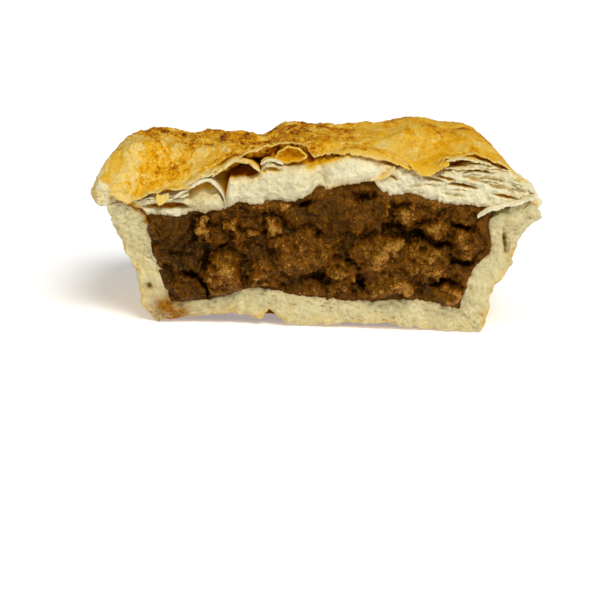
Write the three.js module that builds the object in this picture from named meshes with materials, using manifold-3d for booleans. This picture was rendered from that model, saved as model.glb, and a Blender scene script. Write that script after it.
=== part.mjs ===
// Half of a single-serve beef pie, cut across its middle: a shortcrust case, a minced beef
// filling that runs through to the back wall, and a puffed pastry lid.
// Millimetres, +Z up. The cut face looks along -Y.
import * as THREE from "three";
import { mergeVertices } from "three/addons/utils/BufferGeometryUtils.js";
import Module from "manifold-3d";

const wasm = await Module();
wasm.setup();

// Plan: a rounded rectangle, halved by the cut at y = 0.
const RIM_HALF_WIDTH = 44;
const RIM_LENGTH = 48;
const PLAN_STRETCH = RIM_LENGTH / RIM_HALF_WIDTH;
const SQUARENESS = 5;
const LID_HALF_WIDTH = 43.9;
const LID_SHIFT = -0.5;

// Heights. The rim stands a little higher at the right end of the cut than at the left.
const RIM_TILT = 0.06;
const FLOOR_THICKNESS = 6;
const FLOOR_EDGE = 4.6;
const LID_EDGE = 2.6;
const CLEARANCE = 0.45;
const SEAT_GAP = 0.35;

// Share of the case's rings that lies in the floor; the rest climbs the wall.
const FLOOR_SHARE = 0.55;
// Part of the inner wall, from the floor up, that the filling follows.
const FILLED_SHARE = 0.5;
// Depth over which the uneven outline of the cut settles into the whole pie's form. The
// lid's left end is pressed down at the cut and rises sooner.
const CUT_DEPTH = 16;
const PRESSED_DEPTH = 8;
const PRESSED_FROM = -20;
const PRESSED_TO = -38;
// How squarely the lid's top turns down into its side.
const SHOULDER = 14;

// The case's wall, as half width and height, from the floor to the rim.
const OUTER_WALL = [
  [33.2, 0],
  [34.5, 2.4],
  [35.9, 9.5],
  [38.4, 15.6],
  [40.3, 19.5],
  [42.2, 21.6],
  [44, 24],
];
const INNER_WALL = [
  [28.3, FLOOR_EDGE],
  [29.1, 7],
  [30.8, 12],
  [33, 16],
  [33.8, 19.5],
  [34.6, 22.6],
  [39.5, 25],
];

// Outlines on the cut and along the lid's ridge, as x and height.
const FLOOR_AT_CUT = [
  [-29, FLOOR_EDGE],
  [-22, 5.1],
  [-12, 7.8],
  [-2.5, 6.4],
  [8, 5.8],
  [22, 6.1],
  [29, FLOOR_EDGE],
];
const LID_UNDER_AT_CUT = [
  [-45, 24.6],
  [-38, 23.4],
  [-32.5, 21.5],
  [-18, 23.6],
  [-4, 26.4],
  [7.5, 29.4],
  [16, 27.6],
  [32, 25.6],
  [45, 26.8],
];
const LID_TOP_AT_CUT = [
  [-45, 27.2],
  [-38, 25.4],
  [-31.5, 26.2],
  [-22, 30.6],
  [-14.5, 34.4],
  [-8, 35.8],
  [4, 36.3],
  [12, 34.8],
  [20.5, 33.2],
  [29, 35.2],
  [36, 34],
  [45, 30],
];
const LID_RIDGE = [
  [-45, 32],
  [-37, 34],
  [-23, 34.3],
  [-12, 33.6],
  [-2, 36],
  [6, 36],
  [14, 37.4],
  [24.5, 39],
  [31, 37.6],
  [38, 33.6],
  [45, 27.6],
];

// Voids that the cut opens in the lid: x, height, half width, half depth, half height, tilt.
const LID_VOIDS = [
  [-31.2, 23.9, 4, 3, 0.6, 0.06],
  [-23.4, 27.2, 3.4, 4.5, 1.1, 0.3],
  [-15.6, 31.6, 6.6, 11, 2, 0.22],
  [-7.4, 34.1, 3.2, 6, 0.9, 0],
  [27, 33.7, 2.8, 5, 0.7, -0.1],
  [24, 31.1, 3, 4, 0.4, -0.25],
  [28, 29.9, 3.4, 4, 0.4, -0.15],
  [36.4, 28.9, 2.6, 3, 0.4, -0.15],
];
// A break between two pieces of the lid: x, height, half width, half depth, half height, tilt.
const LID_BREAK = [-18.9, 26.4, 0.6, 3.5, 3.4, 0.12];
// A leaf of the lid that has come away at the right and hangs in front of the filling.
const HANGING_LEAF = [
  [42, 2.4, 28.4],
  [39.2, -2, 27.4],
  [35, -2.7, 25.7],
  [31.2, -2.9, 24],
];
const LEAF_WIDTH = 1.9;
const LEAF_THICKNESS = 0.8;

// Clumps of mince on the cut: x, height, half width, half height, how far they stand out.
const CLUMPS = [
  [-18.6, 10.6, 3.8, 4.4, 2],
  [-23.3, 19.2, 2, 2.5, 1.4],
  [-29, 17.8, 4, 3, 0.9],
  [-9.2, 20, 2, 2.1, 1.5],
  [-3.5, 15.3, 6.2, 4.3, 1.6],
  [-10.4, 11.2, 5.4, 3.2, 1.1],
  [12.6, 15.4, 6, 4.4, 2.4],
  [20.4, 14.4, 5.4, 4, 2.2],
  [15.1, 10, 5.2, 3.4, 2],
  [17.1, 24, 2.6, 2.2, 1.4],
  [23.1, 21.4, 3.2, 2.2, 1.5],
  [29.2, 18, 3.2, 3, 1.3],
  [26.2, 7.4, 2.8, 3, 1.4],
  [4.3, 10.8, 3.6, 3.2, 1.5],
  [-26, 7, 3.6, 2.6, 1.2],
];
// Crevices between the clumps: x, height, half width, half height.
const CREVICES = [
  [-22.3, 13.4, 0.9, 3.2],
  [-24.4, 9.9, 2.2, 0.7],
  [1.3, 10.3, 2.4, 1.1],
  [14.4, 21, 2.2, 1.1],
  [19, 19.6, 2.8, 1.1],
  [28.6, 14.2, 2.2, 1],
  [25, 10.2, 2.2, 0.9],
];
const CREVICE_DEPTH = 4.5;
const CORE_RECESS = 0.9;
const MINCE_PITCH = 5.6;
const MINCE_RADIUS = 2.6;
const MINCE_SEED = 11;

// Edges that change the surface by less than this are joined.
const DETAIL = 0.04;

// Chips torn from the floor's lower edge: x, half width, height.
const CHIPS = [
  [-17.6, 2.4, 2.2],
  [-9.4, 1.9, 3],
  [13.4, 4, 1.5],
];

// Height along x through a row of points, as a smooth curve.
function outline(points) {
  const places = points.map((point) => point[0]);
  const heights = points.map((point) => point[1]);
  const curve = new THREE.CubicInterpolant(places, heights, 1);
  const first = places[0];
  const last = places[places.length - 1];
  return (x) => curve.evaluate(THREE.MathUtils.clamp(x, first, last))[0];
}

// A curve in the plane of half width and height.
function wallCurve(points) {
  return new THREE.SplineCurve(points.map((point) => new THREE.Vector2(...point)));
}

const floorAtCut = outline(FLOOR_AT_CUT);
const lidUnderAtCut = outline(LID_UNDER_AT_CUT);
const lidTopAtCut = outline(LID_TOP_AT_CUT);
const lidRidge = outline(LID_RIDGE);
const outerWall = wallCurve(OUTER_WALL);
const innerWall = wallCurve(INNER_WALL);
const rimTop = outline([
  [33.8, 19.5],
  [34.6, 22.6],
  [37, 24.1],
  [39.5, 25],
  [41.8, 24.5],
  [44, 24],
]);

// A smooth uneven field between about -1 and 1.
function unevenness(a, b, c) {
  const broad = Math.sin(1.31 * a + 0.7 * b + 0.4);
  const middle = Math.sin(0.83 * b - 1.9 * c + 1.3 * Math.sin(0.5 * a));
  const fine = Math.sin(2.3 * c + 1.7 * a - 0.9 * b);
  return 0.5 * broad + 0.3 * middle + 0.2 * fine;
}

// Repeatable numbers between 0 and 1.
function repeatable(seed) {
  let state = seed;
  return () => {
    state = (state * 1103515245 + 12345) % 2147483648;
    return state / 2147483648;
  };
}

// Which ring of the half plan a place (p, q) of the half square lies on, 0 to 1.
function ringOf(p, q) {
  return Math.max(Math.abs(p), q);
}

// The place on the plan outline of a given half width, in the direction of (p, q).
function onPlan(p, q, halfWidth) {
  if (halfWidth === 0) {
    return [0, 0];
  }
  const angle = Math.atan2(q, p);
  const across = Math.abs(Math.cos(angle)) / halfWidth;
  const along = Math.sin(angle) / (halfWidth * PLAN_STRETCH);
  const reach = (across ** SQUARENESS + along ** SQUARENESS) ** (-1 / SQUARENESS);
  return [reach * Math.cos(angle), reach * Math.sin(angle)];
}

// The half width of the plan outline that passes through (x, y).
function planWidthAt(x, y) {
  const across = Math.abs(x) ** SQUARENESS;
  const along = Math.abs(y / PLAN_STRETCH) ** SQUARENESS;
  return (across + along) ** (1 / SQUARENESS);
}

function tilt(x) {
  return 1 + (RIM_TILT * x) / RIM_HALF_WIDTH;
}

// A closed solid: a segmented box whose unit coordinates p, q, w are put in place.
function bentBox(segments, place) {
  const geometry = new THREE.BoxGeometry(2, 1, 1, ...segments);
  geometry.translate(0, 0.5, 0.5);
  const position = geometry.attributes.position;
  for (let i = 0; i < position.count; i += 1) {
    const spot = place(position.getX(i), Math.max(position.getY(i), 0), position.getZ(i));
    position.setXYZ(i, ...spot);
  }
  return toSolid(geometry);
}

function toSolid(geometry) {
  geometry.deleteAttribute("normal");
  geometry.deleteAttribute("uv");
  const merged = mergeVertices(geometry, 1e-4);
  const mesh = new wasm.Mesh({
    numProp: 3,
    vertProperties: new Float32Array(merged.attributes.position.array),
    triVerts: new Uint32Array(merged.index.array),
  });
  return new wasm.Manifold(mesh);
}

function toMesh(solid, name, color, roughness) {
  const mesh = outerShell(solid.simplify(DETAIL)).getMesh();
  const geometry = new THREE.BufferGeometry();
  geometry.setAttribute("position", new THREE.BufferAttribute(mesh.vertProperties, 3));
  geometry.setIndex(new THREE.BufferAttribute(mesh.triVerts, 1));
  geometry.computeVertexNormals();
  const material = new THREE.MeshStandardMaterial({ color, roughness, metalness: 0 });
  const made = new THREE.Mesh(geometry, material);
  made.name = name;
  return made;
}

// A solid's outer shell alone, so that small pockets shut inside it are filled.
function outerShell(solid) {
  const shells = solid.decompose();
  return shells.reduce((best, shell) => (shell.volume() > best.volume() ? shell : best));
}

// A rough rounded lump with the given centre and half sizes.
function lump(centre, half, roughness, detail) {
  const geometry = new THREE.IcosahedronGeometry(1, detail);
  const position = geometry.attributes.position;
  for (let i = 0; i < position.count; i += 1) {
    const a = position.getX(i);
    const b = position.getY(i);
    const c = position.getZ(i);
    const uneven = unevenness(3 * a + centre[0], 3 * b + centre[1], 3 * c + centre[2]);
    const swell = 1 + roughness * uneven;
    position.setXYZ(
      i,
      centre[0] + half[0] * swell * a,
      centre[1] + half[1] * swell * b,
      centre[2] + half[2] * swell * c,
    );
  }
  return toSolid(geometry);
}

// A smooth lens opened by the cut, turned in the plane of the cut.
function lens([x, height, halfWidth, halfDepth, halfHeight, turn]) {
  const geometry = new THREE.SphereGeometry(1, 12, 8);
  geometry.scale(halfWidth, halfDepth, halfHeight);
  geometry.rotateY(-turn);
  geometry.translate(x, 0.3, height);
  return toSolid(geometry);
}

// The floor's upper side. It waves along the cut and thins towards the wall.
function floorTop(x, y, reach) {
  const settle = THREE.MathUtils.smoothstep(y, 0, CUT_DEPTH);
  const level = THREE.MathUtils.lerp(floorAtCut(x), FLOOR_THICKNESS, settle);
  const edge = THREE.MathUtils.smoothstep(reach, 0.4, 1);
  return THREE.MathUtils.lerp(level, FLOOR_EDGE, edge * settle);
}

// A place on the case's outer side.
function caseOutside(p, q) {
  const ring = ringOf(p, q);
  if (ring <= FLOOR_SHARE) {
    const [x, y] = onPlan(p, q, (OUTER_WALL[0][0] * ring) / FLOOR_SHARE);
    return [x, y, 0];
  }
  const section = outerWall.getPoint((ring - FLOOR_SHARE) / (1 - FLOOR_SHARE));
  const [x, y] = onPlan(p, q, section.x);
  return [x, y, section.y * tilt(x)];
}

// A place on the case's inner side, or on a side that keeps clear of it.
function caseInside(p, q, wallShare, clear) {
  const ring = ringOf(p, q);
  if (ring <= FLOOR_SHARE) {
    const reach = ring / FLOOR_SHARE;
    const [x, y] = onPlan(p, q, (INNER_WALL[0][0] - clear) * reach);
    return [x, y, floorTop(x, y, reach) * tilt(x) + clear];
  }
  const climb = ((ring - FLOOR_SHARE) / (1 - FLOOR_SHARE)) * wallShare;
  const section = innerWall.getPoint(climb);
  const [x, y] = onPlan(p, q, section.x - clear);
  return [x, y, section.y * tilt(x) + clear];
}

function lidUnder(x, y) {
  const width = planWidthAt(x, y);
  const settle = THREE.MathUtils.smoothstep(y, 0, CUT_DEPTH);
  const arch = 23 + 4 * (1 - (width / RIM_HALF_WIDTH) ** 3);
  const free = THREE.MathUtils.lerp(lidUnderAtCut(x), arch, settle);
  if (width < 33) {
    return free;
  }
  const seat = rimTop(width) * tilt(x) + SEAT_GAP;
  return Math.max(free, seat);
}

function lidTop(x, y) {
  const ring = Math.min(planWidthAt(x - LID_SHIFT, y) / LID_HALF_WIDTH, 1);
  const pressed = THREE.MathUtils.smoothstep(-x, -PRESSED_FROM, -PRESSED_TO);
  const settle = THREE.MathUtils.smoothstep(y, 0, THREE.MathUtils.lerp(CUT_DEPTH, PRESSED_DEPTH, pressed));
  const fold = Math.exp(-(((x + 12 - 0.22 * (40 - y)) / 2.6) ** 2));
  const plateau = THREE.MathUtils.lerp(lidTopAtCut(x), lidRidge(x), settle);
  const puffed = plateau - 0.9 * fold + 0.35 * unevenness(0.32 * x, 0.3 * y, 2);
  const edge = rimTop(RIM_HALF_WIDTH) * tilt(x) + SEAT_GAP + LID_EDGE;
  return edge + (puffed - edge) * Math.sqrt(1 - ring ** SHOULDER);
}

// How far the torn cut face of the pastry stands in front of the plane of the cut.
function tornFace(x, z) {
  return 0.35 * unevenness(0.9 * x, 0.6, 0.8 * z);
}

function makeCase() {
  let solid = bentBox([40, 18, 3], (p, q, w) => {
    const outside = new THREE.Vector3(...caseOutside(p, q));
    const inside = new THREE.Vector3(...caseInside(p, q, 1, 0));
    const spot = outside.lerp(inside, w);
    if (q === 0 && ringOf(p, q) < 1) {
      spot.y -= tornFace(spot.x, spot.z);
    }
    return spot.toArray();
  });
  for (const [x, halfWidth, height] of CHIPS) {
    solid = solid.subtract(lump([x, -0.6, -0.4], [halfWidth, 3.4, height + 0.4], 0.25, 1));
  }
  return solid;
}

// The filling's body, with its front face moved along the depth.
function fillingBody(front) {
  return bentBox([40, 9, 5], (p, q, w) => {
    const [x, y, low] = caseInside(p, q, FILLED_SHARE, CLEARANCE);
    const high = lidUnder(x, y) - 1.5 * CLEARANCE;
    const depth = q === 0 ? front : Math.max(y, front + 0.2);
    return [x, depth, THREE.MathUtils.lerp(low, high, w)];
  });
}

function onClump(x, z) {
  return CLUMPS.some((clump) => Math.hypot((x - clump[0]) / clump[2], (z - clump[1]) / clump[3]) < 0.7);
}

function makeFilling() {
  const next = repeatable(MINCE_SEED);
  const lumps = CLUMPS.map(([x, z, halfWidth, halfHeight, out]) =>
    lump([x, CORE_RECESS, z], [halfWidth, CORE_RECESS + out, halfHeight], 0.22, 2),
  );
  for (let x = -31; x <= 31; x += MINCE_PITCH) {
    for (let z = 6; z <= 28; z += MINCE_PITCH) {
      const radius = MINCE_RADIUS * (0.75 + 0.5 * next());
      const spot = [x + 2.4 * (next() - 0.5), CORE_RECESS, z + 2.4 * (next() - 0.5)];
      const out = 1.5 + next();
      if (!onClump(spot[0], spot[2])) {
        lumps.push(lump(spot, [radius, out, 0.85 * radius], 0.3, 1));
      }
    }
  }
  const room = fillingBody(-4);
  const crags = wasm.Manifold.union(lumps).intersect(room);
  let solid = fillingBody(CORE_RECESS).add(crags);
  for (const [x, z, halfWidth, halfHeight] of CREVICES) {
    solid = solid.subtract(lump([x, -0.5, z], [halfWidth, CREVICE_DEPTH, halfHeight], 0.25, 1));
  }
  return solid;
}

function makeHangingLeaf() {
  const path = new THREE.CatmullRomCurve3(HANGING_LEAF.map((spot) => new THREE.Vector3(...spot)));
  return bentBox([8, 1, 1], (p, q, w) => {
    const spot = path.getPoint((1 - p) / 2);
    const narrow = 1 - 0.35 * ((1 - p) / 2) ** 2;
    spot.y += (q - 0.5) * LEAF_WIDTH * narrow;
    spot.z += (w - 0.5) * LEAF_THICKNESS * narrow;
    return spot.toArray();
  });
}

function makeLid() {
  let solid = bentBox([44, 18, 3], (p, q, w) => {
    const ring = 1 - (1 - ringOf(p, q)) ** 1.25;
    const [side, y] = onPlan(p, q, LID_HALF_WIDTH * ring);
    const x = side + LID_SHIFT;
    const z = THREE.MathUtils.lerp(lidUnder(x, y), lidTop(x, y), w);
    const bulge = 1.1 * Math.exp(-(((x - 6) / 8) ** 2)) + tornFace(x, z);
    return [x, y - bulge * (1 - q) ** 4, z];
  });
  solid = solid.add(makeHangingLeaf());
  for (const hollow of [...LID_VOIDS, LID_BREAK]) {
    solid = solid.subtract(lens(hollow));
  }
  return solid;
}

const group = new THREE.Group();
group.add(toMesh(makeCase(), "pastry_case", 0xe3d6ab, 0.85));
group.add(toMesh(makeFilling(), "filling", 0x6e4a26, 0.5));
group.add(toMesh(makeLid(), "lid", 0xd39d42, 0.6));

// The origin is the middle of the underside.
const bounds = new THREE.Box3().setFromObject(group);
const middle = bounds.getCenter(new THREE.Vector3());
group.position.set(-middle.x, -middle.y, -bounds.min.z);

export default group;
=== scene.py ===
"""Looks of a cut beef pie half: shortcrust case, minced beef filling and puff pastry lid.

Shapes are worked out in millimetres from the middle of the cut's lower edge: x along the cut,
y from the cut towards the back wall, z up. They go into meshes in metres, in the model's frame.
Numbers kept on the points steer the finishes: bake, soak, painted shade and crease on pastry, painted light
and shade on mince.
"""

from __future__ import annotations

import itertools
import logging
import math
from dataclasses import dataclass, field
from enum import Enum

import bpy
import numpy as np
from mathutils import Matrix, Vector

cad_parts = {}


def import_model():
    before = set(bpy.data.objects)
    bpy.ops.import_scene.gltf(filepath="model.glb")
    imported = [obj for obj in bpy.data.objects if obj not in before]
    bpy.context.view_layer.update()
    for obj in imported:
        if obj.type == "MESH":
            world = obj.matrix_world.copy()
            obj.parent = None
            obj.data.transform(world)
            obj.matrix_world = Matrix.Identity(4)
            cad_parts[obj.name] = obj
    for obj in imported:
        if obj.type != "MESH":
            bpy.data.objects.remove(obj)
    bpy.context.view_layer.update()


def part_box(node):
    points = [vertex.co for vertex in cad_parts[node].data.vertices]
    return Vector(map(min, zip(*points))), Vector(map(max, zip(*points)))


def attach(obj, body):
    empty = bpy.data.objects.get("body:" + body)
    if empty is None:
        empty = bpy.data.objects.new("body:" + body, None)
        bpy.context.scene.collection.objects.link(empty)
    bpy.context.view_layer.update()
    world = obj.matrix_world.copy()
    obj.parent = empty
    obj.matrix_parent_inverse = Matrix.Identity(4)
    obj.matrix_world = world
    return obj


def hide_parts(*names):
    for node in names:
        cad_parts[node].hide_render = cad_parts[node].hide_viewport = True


LOG = logging.getLogger("beef_pie")
Array = np.ndarray
Socket = bpy.types.NodeSocket
Colour = tuple[float, float, float]
Pairs = tuple[tuple[float, float], ...]
Rows = tuple[tuple[float, ...], ...]
MM = 0.001
WHITE: Colour = (1.0, 1.0, 1.0)
BLACK: Colour = (0.0, 0.0, 0.0)


class Slot(Enum):
    """Material slots of the record."""

    SHORTCRUST = "shortcrust"
    MINCE = "mince"
    PUFF_PASTRY = "puff_pastry"


def srgb(red: float, green: float, blue: float) -> Colour:
    """Turns a display colour of 0 to 255 into linear light of 0 to 1."""
    shares = np.array([red, green, blue]) / 255.0
    return tuple(np.where(shares <= 0.04045, shares / 12.92, ((shares + 0.055) / 1.055) ** 2.4).tolist())


def ease(value: Array, low: float | Array, high: float | Array) -> Array:
    """Rises from 0 at low to 1 at high with level ends."""
    share = np.clip((value - low) / (high - low), 0.0, 1.0)
    return share * share * (3.0 - 2.0 * share)


def mix(first: Array | float, second: Array | float, share: Array | float) -> Array:
    """Goes straight from first to second."""
    return first + (second - first) * share


def hump(distance: Array) -> Array:
    """A bell that is 1 in the middle and fades out past a distance of 1."""
    return np.exp(-distance * distance)


def dome(distance: Array) -> Array:
    """A round dome that is 1 in the middle and meets the ground at a distance of 1."""
    return np.sqrt(np.maximum(0.0, 1.0 - distance * distance))


def on_cut(x: Array, z: Array) -> Array:
    """Points on the plane of the cut."""
    return np.stack([x, 0.0 * x, z], -1)


def on_plan(x: Array, y: Array) -> Array:
    """Points on the pie's plan."""
    return np.stack([x, y, 0.0 * x], -1)


def turned(x: Array, y: Array, middle: tuple[float, float], turn: float) -> tuple[Array, Array]:
    """Distances along and across a line that is turned about a middle, in radians."""
    right, up = x - middle[0], y - middle[1]
    return np.cos(turn) * right + np.sin(turn) * up, np.cos(turn) * up - np.sin(turn) * right


class Noise:
    """Repeatable uneven fields on arrays of points."""

    def __init__(self, seed: int) -> None:
        """Draws the tables that a seed stands for.

        Args:
            seed: any whole number.
        """
        rng = np.random.default_rng(seed)
        shuffle = rng.permutation(256)
        self._shuffle = np.concatenate([shuffle, shuffle])
        slopes = rng.normal(size=(256, 3))
        self._slopes = slopes / np.linalg.norm(slopes, axis=1, keepdims=True)
        self._spots = rng.random((256, 3))
        self._tones = rng.random(256)

    def _pick(self, cell: Array) -> Array:
        """Looks up a table place for each lattice cell.

        Args:
            cell: whole numbers of the cells, (..., 3).

        Returns:
            Places in the tables, 0 to 255.
        """
        cell = cell & 255
        first = self._shuffle[cell[..., 0]]
        second = self._shuffle[first + cell[..., 1]]
        return self._shuffle[second + cell[..., 2]]

    def smooth(self, points: Array, size: float | Array) -> Array:
        """Gradient noise: random slopes at lattice corners, blended by an S-curve along each axis.

        Args:
            points: places in millimetres, (..., 3).
            size: lattice pitch in millimetres, one number or one for each axis.

        Returns:
            Values between about -1 and 1, one for each point.
        """
        place = points / size
        low = np.floor(place).astype(np.int64)
        part = place - low
        fade = part**3 * (part * (part * 6.0 - 15.0) + 10.0)
        total = np.zeros(points.shape[:-1])
        for corner in itertools.product((0, 1), repeat=3):
            step = np.array(corner)
            slope = self._slopes[self._pick(low + step)]
            share = np.prod(np.where(step == 1, fade, 1.0 - fade), axis=-1)
            total += share * np.sum(slope * (part - step), axis=-1)
        return 1.6 * total

    def _fields(
        self, points: Array, size: float | Array, layers: int, gain: float, step: float
    ) -> list[Array]:
        """Smooth fields, each half the size of the one before and weaker by gain, a step apart."""
        sizes = [np.asarray(size) / 2.0**n for n in range(layers)]
        return [gain**n * self.smooth(points + step * n, sizes[n]) for n in range(layers)]

    def __call__(self, points: Array, size: float | Array, layers: int, gain: float = 0.5) -> Array:
        """Sum of smooth fields, each half the size of the one before and weaker by gain."""
        return sum(self._fields(points, size, layers, gain, 17.3))

    def billowed(self, points: Array, size: float | Array, layers: int, gain: float = 0.5) -> Array:
        """Sum of the absolute values of such fields: puffs parted by creases."""
        return sum(np.abs(one) for one in self._fields(points, size, layers, gain, 23.1))

    def cells(self, places: Array, pitch: float) -> tuple[Array, Array, Array]:
        """Cell noise in a plane: one random spot in each square, measured over the 9 nearest squares.

        Args:
            places: places in millimetres, (..., 2).
            pitch: side of a square in millimetres.

        Returns:
            Distance to the nearest spot and to the second nearest, in millimetres, and the
            nearest spot's own number from 0 to 1.
        """
        place = places / pitch
        low = np.floor(place).astype(np.int64)
        nearest = np.full(places.shape[:-1], 9.0)
        second = nearest.copy()
        tone = np.zeros_like(nearest)
        for step in itertools.product((-1, 0, 1), repeat=2):
            cell = low + np.array(step)
            pick = self._pick(np.concatenate([cell, np.zeros_like(cell[..., :1])], axis=-1))
            far = np.linalg.norm(cell + self._spots[pick, :2] - place, axis=-1)
            closer = far < nearest
            second = np.where(closer, nearest, np.minimum(second, far))
            tone = np.where(closer, self._tones[pick], tone)
            nearest = np.where(closer, far, nearest)
        return nearest * pitch, second * pitch, tone

    def beads(self, places: Array, pitch: float, share: float, sizes: tuple[float, float]) -> Array:
        """Round beads on some squares of a plane: domes over the spots of cell noise.

        Args:
            places: places in millimetres, (..., 2).
            pitch: side of a square.
            share: the part of the squares that has a bead.
            sizes: smallest and largest radius.

        Returns:
            Height over the plane.
        """
        near, _, tone = self.cells(places, pitch)
        radius = mix(sizes[0], sizes[1], np.clip(tone / share, 0.0, 1.0))
        return np.where(tone < share, radius * dome(near / radius), 0.0)


def softened(grid: Array, reach: int) -> Array:
    """Mean of a grid over squares, its edges repeated, from running sums along each axis.

    Args:
        grid: numbers on a grid.
        reach: how many points the square goes to each side.

    Returns:
        The means, on the same grid.
    """
    span = 2 * reach + 1
    for axis in (0, 1):
        widths = [(reach + 1, reach) if axis == side else (0, 0) for side in (0, 1)]
        total = np.cumsum(np.pad(grid, widths, mode="edge"), axis=axis)
        total = np.moveaxis(total, axis, 0)
        grid = np.moveaxis((total[span:] - total[:-span]) / span, 0, axis)
    return grid


@dataclass(frozen=True)
class Outline:
    """A smooth line of height over x through a few points."""

    points: Pairs

    def __call__(self, x: Array) -> Array:
        """Cubic between neighbours; each point's slope comes from the points beside it.

        Args:
            x: places along the line; past its ends the end's height stays.

        Returns:
            Heights.
        """
        places, heights = np.array(self.points).T
        slopes = np.gradient(heights, places)
        x = np.clip(x, places[0], places[-1])
        low = np.clip(np.searchsorted(places, x) - 1, 0, len(places) - 2)
        span = places[low + 1] - places[low]
        t = (x - places[low]) / span
        start = heights[low] * (1.0 + 2.0 * t) + span * slopes[low] * t
        end = heights[low + 1] * (3.0 - 2.0 * t) + span * slopes[low + 1] * (t - 1.0)
        return start * (1.0 - t) ** 2 + end * t * t


@dataclass(frozen=True)
class WallCurve:
    """A smooth line of half width and height through evenly timed points."""

    points: Pairs

    def __call__(self, share: Array) -> Array:
        """Catmull-Rom line: each stretch leaves a point along the chord of its two neighbours.

        Args:
            share: how far along the line, 0 to 1.

        Returns:
            Half width and height, (..., 2).
        """
        knots = np.array(self.points)
        last = len(knots) - 1
        place = np.clip(share, 0.0, 1.0) * last
        low = np.minimum(place.astype(np.int64), last - 1)
        t = (place - low)[..., None]
        before, here, there, after = (knots[np.clip(low + k, 0, last)] for k in (-1, 0, 1, 2))
        leave = (there - before) / 2.0
        arrive = (after - here) / 2.0
        cubic = 2.0 * here - 2.0 * there + leave + arrive
        square = -3.0 * here + 3.0 * there - 2.0 * leave - arrive
        return ((cubic * t + square) * t + leave) * t + here


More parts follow.
